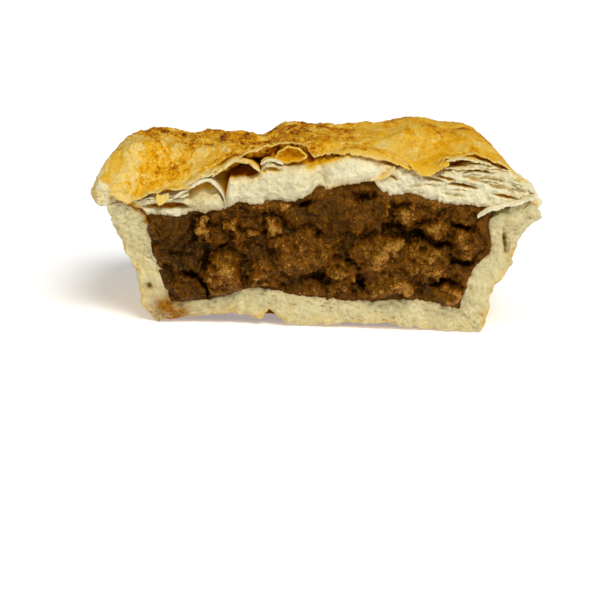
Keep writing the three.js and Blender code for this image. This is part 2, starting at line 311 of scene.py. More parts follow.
@dataclass(frozen=True)
class PieForm:
    """The pie's shared form: plan, wall, floor and lid, in millimetres."""

    rim_half_width: float = 44.0
    rim_length: float = 48.0
    rim_height: float = 24.0
    rim_tilt: float = 0.06
    squareness: float = 5.0
    floor_thickness: float = 6.0
    floor_edge: float = 4.6
    floor_share: float = 0.55
    lid_half_width: float = 43.9
    lid_shift: float = -0.5
    lid_edge: float = 2.6
    lid_side: float = 9.0
    shoulder: float = 14.0
    arch_foot: float = 23.0
    arch_rise: float = 4.0
    seat_from: float = 33.0
    cut_depth: float = 16.0
    pressed_depth: float = 8.0
    fold_depth: float = 0.9
    fold_width: float = 2.6
    outer_wall: WallCurve = WallCurve(
        ((33.2, 0), (34.5, 2.4), (35.9, 9.5), (38.4, 15.6), (40.3, 19.5), (42.2, 21.6), (44, 24))
    )
    inner_wall: WallCurve = WallCurve(
        ((28.3, 4.6), (29.1, 7), (30.8, 12), (33, 16), (33.8, 19.5), (34.6, 22.6), (39.5, 25))
    )
    rim_top: Outline = Outline(
        ((33.8, 19.5), (34.6, 22.6), (37, 24.1), (39.5, 25), (41.8, 24.5), (44, 24))
    )
    floor_at_cut: Outline = Outline(
        ((-29, 4.6), (-22, 5.1), (-12, 7.8), (-2.5, 6.4), (8, 5.8), (22, 6.1), (29, 4.6))
    )
    under_at_cut: Outline = Outline(
        (
            (-45, 22.2), (-41.5, 22.8), (-38, 23.2), (-36, 22.9), (-34, 21.7), (-31.2, 21.3), (-28, 21.2),
            (-26.8, 21.8), (-25.6, 22.6), (-22.5, 22.8), (-18.6, 23.6), (-17.2, 24.7), (-12, 24.7),
            (-9.8, 25.5), (-7, 25.7), (-4, 26.5), (-1.8, 27.2), (-0.6, 28), (2.7, 28.3), (4.5, 28.9),
            (8.6, 29.9), (10.3, 30.1), (11.3, 29.2), (12.8, 27.9), (15.5, 27.5), (17.5, 27.9),
            (20, 27.4), (23.7, 26.5), (27.2, 26.1), (30.6, 25.7), (33.3, 25.7), (45, 26.8),
        )
    )
    top_at_cut: Outline = Outline(
        (
            (-45, 27.2), (-38, 25.4), (-31.5, 26.2), (-22, 30.6), (-14.5, 34.4), (-8, 35.8), (4, 36.3),
            (12, 34.8), (20.5, 33.2), (29, 35.2), (33, 35.2), (36, 34.6), (38.2, 32.9), (40, 32.7),
            (42, 31.4), (45, 29),
        )
    )
    ridge: Outline = Outline(
        (
            (-45, 31.2), (-40, 34), (-36, 34.9), (-32, 34), (-28, 33.2), (-23, 33.9), (-18, 34),
            (-12, 33.8), (-7, 35.6), (-2, 35.9), (6, 35.9), (14, 37.2), (20, 38.6), (23, 38.4),
            (26, 37.7), (31, 37.9), (33.5, 37.3), (36, 35.4), (38.5, 33), (41.2, 30), (45, 27.4),
        )
    )

    @property
    def stretch(self) -> float:
        """How much longer the plan is along y than along x."""
        return self.rim_length / self.rim_half_width

    def plan(self, p: Array, q: Array, half_width: Array) -> tuple[Array, Array]:
        """Places on the rounded rectangle of a given half width.

        The outline is a superellipse: |x / a|^n + |y / b|^n = 1.

        Args:
            p: the direction's share along x.
            q: the direction's share along y.
            half_width: a of the superellipse.

        Returns:
            x and y.
        """
        angle = np.arctan2(q, p)
        across = np.abs(np.cos(angle))
        along = np.sin(angle) / self.stretch
        reach = half_width * (across**self.squareness + along**self.squareness) ** (-1 / self.squareness)
        return reach * np.cos(angle), reach * np.sin(angle)

    def width_at(self, x: Array, y: Array) -> Array:
        """Half width of the plan outline that passes through a place."""
        n = self.squareness
        return (np.abs(x) ** n + np.abs(y / self.stretch) ** n) ** (1 / n)

    def tilt(self, x: Array) -> Array:
        """The rim stands a little higher at the right end of the cut."""
        return 1.0 + self.rim_tilt * x / self.rim_half_width

    def outside(self, p: Array, q: Array) -> Array:
        """The case's outer side: a flat floor, then the wall curve, carried round the plan.

        Args:
            p: across the half square, -1 to 1.
            q: along its depth, 0 to 1.

        Returns:
            Points, (..., 3).
        """
        ring = np.maximum(np.abs(p), q)
        wall = self.outer_wall((ring - self.floor_share) / (1.0 - self.floor_share))
        on_floor = ring <= self.floor_share
        width = np.where(on_floor, wall[..., 0] * ring / self.floor_share, wall[..., 0])
        x, y = self.plan(p, q, width)
        return np.stack([x, y, np.where(on_floor, 0.0, wall[..., 1] * self.tilt(x))], axis=-1)

    def floor_top(self, x: Array, y: Array, reach: Array) -> Array:
        """The floor's upper side: wavy along the cut, thinner towards the wall.

        Args:
            x: along the cut.
            y: behind it.
            reach: how far out on the floor, 0 to 1.

        Returns:
            Heights.
        """
        settle = ease(y, 0.0, self.cut_depth)
        level = mix(self.floor_at_cut(x), self.floor_thickness, settle)
        return mix(level, self.floor_edge, ease(reach, 0.4, 1.0) * settle)

    def inside(self, p: Array, q: Array) -> Array:
        """The case's inner side: the wavy floor, then the inner wall curve up to the rim.

        Args:
            p: across the half square, -1 to 1.
            q: along its depth, 0 to 1.

        Returns:
            Points, (..., 3).
        """
        ring = np.maximum(np.abs(p), q)
        reach = np.minimum(ring / self.floor_share, 1.0)
        wall = self.inner_wall((ring - self.floor_share) / (1.0 - self.floor_share))
        x, y = self.plan(p, q, np.where(reach < 1.0, wall[..., 0] * reach, wall[..., 0]))
        height = np.where(reach < 1.0, self.floor_top(x, y, reach), wall[..., 1])
        return np.stack([x, y, height * self.tilt(x)], axis=-1)

    def inner_shift(self, x: Array, z: Array) -> Array:
        """How far the inner wall's line at the cut lies to the right of its plain curve.

        Args:
            x: along the cut.
            z: heights.

        Returns:
            Distances, from one slope on the left and two bells on the right.
        """
        left = -0.7 * (1.0 - ease(z, 6.0, 20.0))
        right = 1.5 * hump((z - 17.2) / 2.6) - 0.5 * hump((z - 21.8) / 1.4)
        return np.where(x < 0.0, left, right)

    def lid_under(self, x: Array, y: Array) -> Array:
        """The lid's lower side: uneven at the cut, an arch behind it, and seated on the rim.

        Args:
            x: along the cut.
            y: behind it.

        Returns:
            Heights.
        """
        width = self.width_at(x, y)
        arch = self.arch_foot + self.arch_rise * (1.0 - (width / self.rim_half_width) ** 3)
        free = mix(self.under_at_cut(x), arch, ease(y, 0.0, self.cut_depth))
        seat = self.rim_top(width) * self.tilt(x)
        return np.where(width < self.seat_from, free, np.maximum(free, seat))

    def lid_ring(self, x: Array, y: Array) -> Array:
        """Where a place lies between the lid's middle, 0, and its edge, 1."""
        return np.minimum(self.width_at(x - self.lid_shift, y) / self.lid_half_width, 1.0)

    def unrolled(self, x: Array, y: Array) -> tuple[Array, Array]:
        """Places on the lid moved outwards by how far its top has turned down there.

        Args:
            x: along the cut.
            y: behind it.

        Returns:
            x and y on the unrolled lid, so that patterns keep their size on its steep side.
        """
        drop = self.lid_side * (1.0 - np.sqrt(1.0 - self.lid_ring(x, y) ** self.shoulder))
        across, along = x - self.lid_shift, y / self.stretch
        share = drop / np.maximum(np.hypot(across, along), 1.0)
        return x + across * share, y + along * share

    def lid_top(self, x: Array, y: Array) -> Array:
        """The lid's upper side: from the cut's outline to a ridge, turned down at the edge.

        The turn is the square root of 1 - ring^n, so the top is level and the side is steep. The
        left end is pressed down at the cut, and a shallow fold crosses the lid.

        Args:
            x: along the cut.
            y: behind it.

        Returns:
            Heights.
        """
        pressed = ease(-x, 20.0, 38.0)
        settle = ease(y, 0.0, mix(self.cut_depth, self.pressed_depth, pressed))
        fold = hump((x + 12.0 - 0.22 * (40.0 - y)) / self.fold_width)
        puffed = mix(self.top_at_cut(x), self.ridge(x), settle) - self.fold_depth * fold
        edge = self.rim_height * self.tilt(x) + self.lid_edge * (1.0 + ease(-x, 32.0, 42.0))
        return edge + (puffed - edge) * np.sqrt(1.0 - self.lid_ring(x, y) ** self.shoulder)


@dataclass
class Surface:
    """A closed mesh in millimetres with numbers on its points."""

    points: Array
    quads: Array
    triangles: Array = field(default_factory=lambda: np.zeros((0, 3), np.int64))
    values: dict[str, Array] = field(default_factory=dict)

    @staticmethod
    def joined(parts: list[Surface]) -> Surface:
        """Several surfaces as one.

        Args:
            parts: surfaces with the same kinds of numbers.

        Returns:
            One surface with all their points and faces.
        """
        counts = np.cumsum([0] + [len(part.points) for part in parts[:-1]])
        names = parts[0].values
        return Surface(
            points=np.concatenate([part.points for part in parts]),
            quads=np.concatenate([part.quads + n for part, n in zip(parts, counts)]),
            triangles=np.concatenate([part.triangles + n for part, n in zip(parts, counts)]),
            values={name: np.concatenate([part.values[name] for part in parts]) for name in names},
        )

    def to_object(self, name: str, place: Vector, material: bpy.types.Material) -> bpy.types.Object:
        """Puts the surface into a new mesh object.

        Args:
            name: the piece's name.
            place: where the middle of the cut's lower edge lies in the model's frame, in metres.
            material: the finish.

        Returns:
            The object, at the origin, with its place in its mesh.
        """
        mesh = bpy.data.meshes.new(name)
        loops = np.concatenate([self.quads.ravel(), self.triangles.ravel()]).astype(np.int32)
        sides = np.concatenate([np.full(len(self.quads), 4), np.full(len(self.triangles), 3)])
        starts = np.concatenate([[0], np.cumsum(sides)[:-1]]).astype(np.int32)
        mesh.vertices.add(len(self.points))
        mesh.vertices.foreach_set("co", (self.points * MM + np.array(place)).astype(np.float32).ravel())
        mesh.loops.add(len(loops))
        mesh.loops.foreach_set("vertex_index", loops)
        mesh.polygons.add(len(starts))
        mesh.polygons.foreach_set("loop_start", starts)
        mesh.polygons.foreach_set("use_smooth", np.ones(len(starts), bool))
        for label, numbers in self.values.items():
            layer = mesh.attributes.new(label, "FLOAT", "POINT")
            layer.data.foreach_set("value", numbers.astype(np.float32))
        mesh.update(calc_edges=True)
        mesh.validate()
        mesh.materials.append(material)
        made = bpy.data.objects.new(name, mesh)
        bpy.context.scene.collection.objects.link(made)
        LOG.info("%s: %d points, %d faces", name, len(mesh.vertices), len(mesh.polygons))
        return made


def sheet_quads(index: Array) -> Array:
    """Quads of a grid of point numbers, facing the side that its two axes turn towards."""
    corners = [index[:-1, :-1], index[1:, :-1], index[1:, 1:], index[:-1, 1:]]
    return np.stack(corners, axis=-1).reshape(-1, 4)


def box_skin(p: Array, q: Array, w: Array) -> tuple[Array, Array]:
    """The closed skin of a box lattice: six grids that share their edges.

    Args:
        p: places across, rising.
        q: places along the depth, rising.
        w: places through the thickness, rising.

    Returns:
        The points' (p, q, w) and the quads, facing out.
    """
    shape = (len(p), len(q), len(w))
    index = np.arange(math.prod(shape)).reshape(shape)
    grids = [
        index[:, :, -1],
        index[:, ::-1, 0],
        index[:, 0, :],
        index[::-1, -1, :],
        index[-1, :, :],
        index[0, ::-1, :],
    ]
    numbers, quads = np.unique(np.concatenate([sheet_quads(g) for g in grids]), return_inverse=True)
    i, j, k = np.unravel_index(numbers, shape)
    return np.stack([p[i], q[j], w[k]], axis=-1), quads.reshape(-1, 4)


def border_of(index: Array) -> Array:
    """The loop of point numbers round a grid, in the turn of its quads."""
    return np.concatenate([index[:-1, 0], index[-1, :-1], index[:0:-1, -1], index[0, :0:-1]])


def lined_sheet(front: Array, rings: list[Array], tip: Array) -> tuple[Array, Array, Array]:
    """A grid closed behind by rings that follow its border and end in one point.

    Args:
        front: the grid's points, (across, up, 3).
        rings: loops of points with the border's count, from the border to the tip.
        tip: the last point.

    Returns:
        Points, quads and triangles, facing out.
    """
    count = front.shape[0] * front.shape[1]
    index = np.arange(count).reshape(front.shape[:2])
    loops = [border_of(index)]
    loops += [count + n * len(loops[0]) + np.arange(len(loops[0])) for n in range(len(rings))]
    quads = [sheet_quads(index)]
    for near, far in zip(loops[:-1], loops[1:]):
        quads.append(np.stack([near, far, np.roll(far, -1), np.roll(near, -1)], axis=-1))
    points = np.concatenate([front.reshape(-1, 3), *rings, tip[None]])
    end = np.full(len(loops[-1]), len(points) - 1)
    triangles = np.stack([loops[-1], end, np.roll(loops[-1], -1)], axis=-1)
    return points, np.concatenate(quads), triangles


def dry(bake: Array) -> dict[str, Array]:
    """Numbers of baked pastry without gravy or painted shade."""
    return {"bake": bake, "soak": 0.0 * bake, "painted_shade": 0.0 * bake}


def add_piece(piece: bpy.types.Object, node: str = "") -> None:
    """Makes a piece ride on the part.

    Args:
        piece: the piece.
        node: the node that it stands for, if any.
    """
    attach(piece, "root")
    if node:
        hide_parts(node)


class Nodes:
    """Short calls that lay out a material's nodes."""

    def __init__(self, name: str) -> None:
        """Starts a material with a shader and Object coordinates.

        Args:
            name: the material's name.
        """
        self.material = bpy.data.materials.new(name)
        self.material.use_nodes = True
        self.tree = self.material.node_tree
        self.shader = next(n for n in self.tree.nodes if n.type == "BSDF_PRINCIPLED")
        self.place = self.add("ShaderNodeTexCoord").outputs["Object"]

    def add(self, kind: str, **settings: object) -> bpy.types.Node:
        """Adds a node.

        Args:
            kind: the node's type.
            settings: its own settings, by name.

        Returns:
            The node.
        """
        node = self.tree.nodes.new(kind)
        for name, value in settings.items():
            setattr(node, name, value)
        return node

    def feed(self, socket: Socket, value: object) -> None:
        """Links a socket to another node's output, or sets it to a number or a colour.

        Args:
            socket: the socket.
            value: an output, a number, a vector or a colour.
        """
        if isinstance(value, Socket):
            self.tree.links.new(value, socket)
        elif isinstance(value, tuple) and len(value) == 3 and socket.type == "RGBA":
            socket.default_value = (*value, 1.0)
        else:
            socket.default_value = value

    def number(self, name: str) -> Socket:
        """A number kept on the mesh's points."""
        return self.add("ShaderNodeAttribute", attribute_name=name).outputs["Fac"]

    def worked(self, kind: str, operation: str, values: tuple[object, ...]) -> Socket:
        """Arithmetic in a node.

        Args:
            kind: the node's type.
            operation: what is done.
            values: numbers or vectors, in the node's order.

        Returns:
            The result.
        """
        node = self.add(kind, operation=operation)
        for socket, value in zip(node.inputs, values):
            self.feed(socket, value)
        return node.outputs[0]

    def math(self, operation: str, *values: object) -> Socket:
        """Arithmetic on numbers."""
        return self.worked("ShaderNodeMath", operation, values)

    def vector(self, operation: str, *values: object) -> Socket:
        """Arithmetic on vectors."""
        return self.worked("ShaderNodeVectorMath", operation, values)

    def uneven(
        self, size_mm: float, detail: float = 3.0, rough: float = 0.55, length: float = 1.0
    ) -> bpy.types.Node:
        """An uneven field.

        Args:
            size_mm: size of its features.
            detail: how many finer fields are added.
            rough: how strong these are.
            length: how many times as long the features are along y.

        Returns:
            The node.
        """
        place = self.place
        if length != 1.0:
            place = self.vector("MULTIPLY", place, (1.0, 1.0 / length, 1.0))
        node = self.add("ShaderNodeTexNoise")
        self.feed(node.inputs["Vector"], place)
        self.feed(node.inputs["Scale"], 1.0 / (size_mm * MM))
        self.feed(node.inputs["Detail"], detail)
        self.feed(node.inputs["Roughness"], rough)
        return node

    def noise(self, *sizes: float) -> Socket:
        """An uneven field's values, 0 to 1, by the same sizes."""
        return self.uneven(*sizes).outputs[0]

    def creases(self, size_mm: float, length: float) -> Socket:
        """Thin wandering lines round patches: distance to the edges of cells on drifting coordinates.

        Args:
            size_mm: size of the patches.
            length: how many times as long they are along y.

        Returns:
            A field that is 0 on a line.
        """
        size = size_mm * MM
        drift = self.uneven(size_mm / 0.8, 4.0, 0.65).outputs["Color"]
        moved = self.vector("MULTIPLY_ADD", drift, (1.8 * size, 1.8 * length * size, 0.0), self.place)
        cells = self.add("ShaderNodeTexVoronoi", feature="DISTANCE_TO_EDGE")
        self.feed(cells.inputs["Vector"], self.vector("MULTIPLY", moved, (1.0, 1.0 / length, 0.3)))
        self.feed(cells.inputs["Scale"], 1.0 / size)
        return cells.outputs["Distance"]

    def shift(self, value: object, low: float, high: float) -> Socket:
        """Takes a field of 0 to 1 to low to high."""
        return self.math("MULTIPLY_ADD", value, high - low, low)

    def ramp(self, value: object, stops: tuple[tuple[float, Colour], ...]) -> Socket:
        """Colours along a number.

        Args:
            value: the number.
            stops: places from 0 to 1 and their colours.

        Returns:
            The colour.
        """
        node = self.add("ShaderNodeValToRGB")
        elements = node.color_ramp.elements
        for _ in stops[2:]:
            elements.new(0.5)
        for element, (place, colour) in zip(elements, stops):
            element.position = place
            element.color = (*colour, 1.0)
        self.feed(node.inputs[0], value)
        return node.outputs[0]

    def blend(self, first: object, second: object, share: object, mode: str = "MIX") -> Socket:
        """Colours mixed by a share.

        Args:
            first: the colour at a share of 0.
            second: the colour at a share of 1.
            share: the share.
            mode: how they are mixed.

        Returns:
            The colour.
        """
        node = self.add("ShaderNodeMix", data_type="RGBA", blend_type=mode)
        self.feed(node.inputs[0], share)
        self.feed(node.inputs[6], first)
        self.feed(node.inputs[7], second)
        return node.outputs[2]

    def bump(self, height: object, depth_mm: float, under: object = None) -> Socket:
        """Fine relief.

        Args:
            height: its height, 0 to 1.
            depth_mm: how deep it is.
            under: other relief that it lies on.

        Returns:
            The normal.
        """
        node = self.add("ShaderNodeBump")
        self.feed(node.inputs["Strength"], 1.0)
        self.feed(node.inputs["Distance"], depth_mm * MM)
        self.feed(node.inputs["Height"], height)
        if under is not None:
            self.feed(node.inputs["Normal"], under)
        return node.outputs[0]

    def finish(self, **sockets: object) -> bpy.types.Material:
        """Fills the shader's sockets.

        Args:
            sockets: outputs or values by socket name, with _ for a space.

        Returns:
            The material.
        """
        for name, value in sockets.items():
            self.feed(self.shader.inputs[name.replace("_", " ")], value)
        return self.material


@dataclass(frozen=True)
class PastryFinish:
    """Baked pastry: cream where torn, golden to brown where the oven reached it."""

    name: str
    cream: Colour = srgb(236, 228, 188)
    straw: Colour = srgb(237, 195, 79)
    golden: Colour = srgb(229, 165, 10)
    brown: Colour = srgb(180, 106, 4)
    scorched: Colour = srgb(80, 30, 2)
    gravy: Colour = srgb(156, 102, 26)
    shade: Colour = srgb(212, 196, 150)
    sheen: Colour = (1.0, 0.78, 0.3)
    roughness: float = 0.7
    gloss: float = 0.15
    grain_mm: float = 0.5
    grain_depth_mm: float = 0.12
    mottle: float = 0.16
    speckle: float = 0.8
    softness: float = 0.06
    cloudiness: float = 0.3
    flaking: float = 0.0
    flake_depth_mm: float = 0.07
    least_bake: float = 0.0

    def baked(self, nodes: Nodes) -> tuple[Socket, Socket]:
        """How brown each place is, and the lift of its flakes.

        The points' bake is mottled in patches of 3.5 and 0.8 mm. Flakes of two sizes are paler, with
        a painted shadow as a darker line along their edge, and worn creases are paler, all by the points'
        crease.

        Args:
            nodes: the material's nodes.

        Returns:
            The bake from 0 to 1, and the flakes' height.
        """
        broad = nodes.shift(nodes.noise(3.5, 5.0, 0.65), -2.0 * self.mottle, 2.0 * self.mottle)
        fine = nodes.shift(nodes.noise(0.8, 3.0, 0.6), -self.mottle, self.mottle)
        baked = nodes.math("MULTIPLY", nodes.number("bake"), nodes.math("ADD", 1.0, broad))
        baked = nodes.math("MULTIPLY", baked, nodes.math("ADD", 1.0, fine))
        crease = nodes.number("crease")
        lift = 0.0
        for size in (4.5, 2.0):
            uneven = nodes.noise(size, 5.0, 0.6, 2.2)
            sheet = nodes.math("MULTIPLY", nodes.ramp(uneven, ((0.515, BLACK), (0.535, WHITE))), crease)
            # shadow: a darker line just outside each flake's edge, a painted shadow.
            shadow = nodes.ramp(uneven, ((0.46, BLACK), (0.508, WHITE), (0.522, BLACK)))
            shadow = nodes.math("MULTIPLY", shadow, crease)
            baked = nodes.math("MULTIPLY_ADD", sheet, -self.flaking, baked)
            baked = nodes.math("MULTIPLY_ADD", shadow, 0.5 * self.flaking, baked)
            lift = nodes.math("ADD", sheet, lift)
        worn = nodes.ramp(nodes.noise(3.0, 2.0), ((0.34, BLACK), (0.52, WHITE)))
        for size, strength in ((3.4, 0.2), (1.6, 0.16)):
            ridge = nodes.ramp(nodes.creases(size, 2.0), ((0.0, WHITE), (0.09, BLACK)))
            ridge = nodes.math("MULTIPLY", nodes.math("MULTIPLY", ridge, worn), crease)
            baked = nodes.math("MULTIPLY_ADD", ridge, -strength, baked)
        return nodes.math("MAXIMUM", baked, self.least_bake), lift

    def colour(self, nodes: Nodes, baked: Socket) -> Socket:
        """The crust's colour: along the bake, with painted shade in dips, speckled, clouded and soaked with
        gravy.

        Args:
            nodes: the material's nodes.
            baked: how brown each place is.

        Returns:
            The colour.
        """
        shades = (self.cream, self.straw, self.golden, self.brown, self.scorched)
        crust = nodes.ramp(baked, tuple(zip((0.0, 0.3, 0.58, 0.8, 1.0), shades)))
        # Painted shade: the shade colour is multiplied in by the points' painted shade.
        crust = nodes.blend(crust, self.shade, nodes.number("painted_shade"), "MULTIPLY")
        speck = ((0.3, (0.82, 0.8, 0.74)), (0.62, (1.04, 1.04, 1.05)))
        crust = nodes.blend(crust, nodes.ramp(nodes.noise(0.7, 3.0, 0.7), speck), self.speckle, "MULTIPLY")
        cloud = ((0.36, (0.76, 0.75, 0.7)), (0.62, (1.03, 1.03, 1.03)))
        crust = nodes.blend(crust, nodes.ramp(nodes.noise(2.4, 4.0, 0.6), cloud), self.cloudiness, "MULTIPLY")
        stain = nodes.math("MULTIPLY", nodes.number("soak"), nodes.shift(nodes.noise(1.4, 3.0), 0.65, 1.3))
        return nodes.blend(crust, self.gravy, nodes.math("MINIMUM", stain, 1.0))

    def material(self) -> bpy.types.Material:
        """Lays out the finish: colour, grain of two sizes, flakes, uneven gloss and a little depth.

        Returns:
            The material.
        """
        nodes = Nodes(self.name)
        baked, lift = self.baked(nodes)
        coarse = nodes.bump(nodes.noise(2.2 * self.grain_mm, 4.0, 0.65), 1.6 * self.grain_depth_mm)
        relief = nodes.bump(nodes.noise(self.grain_mm, 3.0, 0.7), self.grain_depth_mm, coarse)
        if self.flaking:
            relief = nodes.bump(lift, self.flake_depth_mm, relief)
        return nodes.finish(
            Base_Color=self.colour(nodes, baked),
            Roughness=nodes.shift(nodes.noise(1.3), self.roughness - 0.12, self.roughness + 0.12),
            Normal=relief,
            Specular_IOR_Level=self.gloss,
            Specular_Tint=self.sheen,
            Subsurface_Weight=self.softness,
            Subsurface_Radius=(1.0, 0.7, 0.4),
            Subsurface_Scale=0.0012,
        )


@dataclass(frozen=True)
class MinceFinish:
    """Cooked mince in gravy: brown granules, painted paler where they rise and darker in the crevices, as
    painted light and shade.
    """

    name: str
    # deep: the colour of the painted shade in the crevices.
    deep: Colour = srgb(30, 14, 0)
    gravy: Colour = srgb(70, 38, 0)
    meat: Colour = srgb(112, 66, 1)
    # fat_and_highlight, the palest colour, is partly fat and partly painted highlight on the tops.
    fat_and_highlight: Colour = srgb(188, 136, 60)
    sheen: Colour = (1.0, 0.62, 0.22)
    gloss: float = 0.3

    def material(self) -> bpy.types.Material:
        """Colour follows the painted light and shade from how far a point stands out, broken up by mottling
        and small painted glints.

        Returns:
            The material.
        """
        nodes = Nodes(self.name)
        painted_light = nodes.number("painted_light")
        uneven = nodes.shift(nodes.noise(0.8, 3.0, 0.6), -0.2, 0.2)
        # Painted glints: small pale points in patches, stronger where the painted light is high.
        painted_glints = nodes.ramp(nodes.noise(0.42, 2.0, 0.5), ((0.55, BLACK), (0.7, (0.4, 0.4, 0.4))))
        glint_mask = nodes.ramp(nodes.noise(2.0, 3.0, 0.6), ((0.42, (0.3, 0.3, 0.3)), (0.6, WHITE)))
        painted_glints = nodes.math("MULTIPLY", painted_glints, glint_mask)
        level = nodes.math("ADD", painted_light, uneven)
        level = nodes.math("MULTIPLY_ADD", painted_glints, nodes.shift(painted_light, 0.2, 1.9), level)
        # The ramp runs from painted shade in the crevices to painted highlight on the tops.
        shades = ((0.0, self.deep), (0.32, self.gravy), (0.66, self.meat), (1.0, self.fat_and_highlight))
        patches = ((0.38, (0.88, 0.95, 0.8)), (0.62, (1.08, 1.0, 1.1)))
        patch = nodes.ramp(nodes.noise(3.0, 3.0, 0.6), patches)
        coarse = nodes.bump(nodes.noise(0.9, 3.0, 0.6), 0.25)
        return nodes.finish(
            Base_Color=nodes.blend(nodes.ramp(level, shades), patch, 1.0, "MULTIPLY"),
            Roughness=nodes.shift(nodes.noise(1.0, 3.0), 0.02, 0.42),
            Normal=nodes.bump(nodes.noise(0.42, 2.0, 0.55), 0.2, coarse),
            Specular_IOR_Level=self.gloss,
            Specular_Tint=self.sheen,
        )


@dataclass(frozen=True)
class FloorFinish:
    """A plain pale studio floor."""

    name: str
    colour: Colour = (0.95, 0.95, 0.95)
    glow: float = 0.3

    def material(self) -> bpy.types.Material:
        """White with a barely uneven sheen and a faint glow.

        Returns:
            The material.
        """
        nodes = Nodes(self.name)
        return nodes.finish(
            Base_Color=self.colour,
            Roughness=nodes.shift(nodes.noise(30.0), 0.7, 0.8),
            Emission_Color=WHITE,
            Emission_Strength=self.glow,
        )


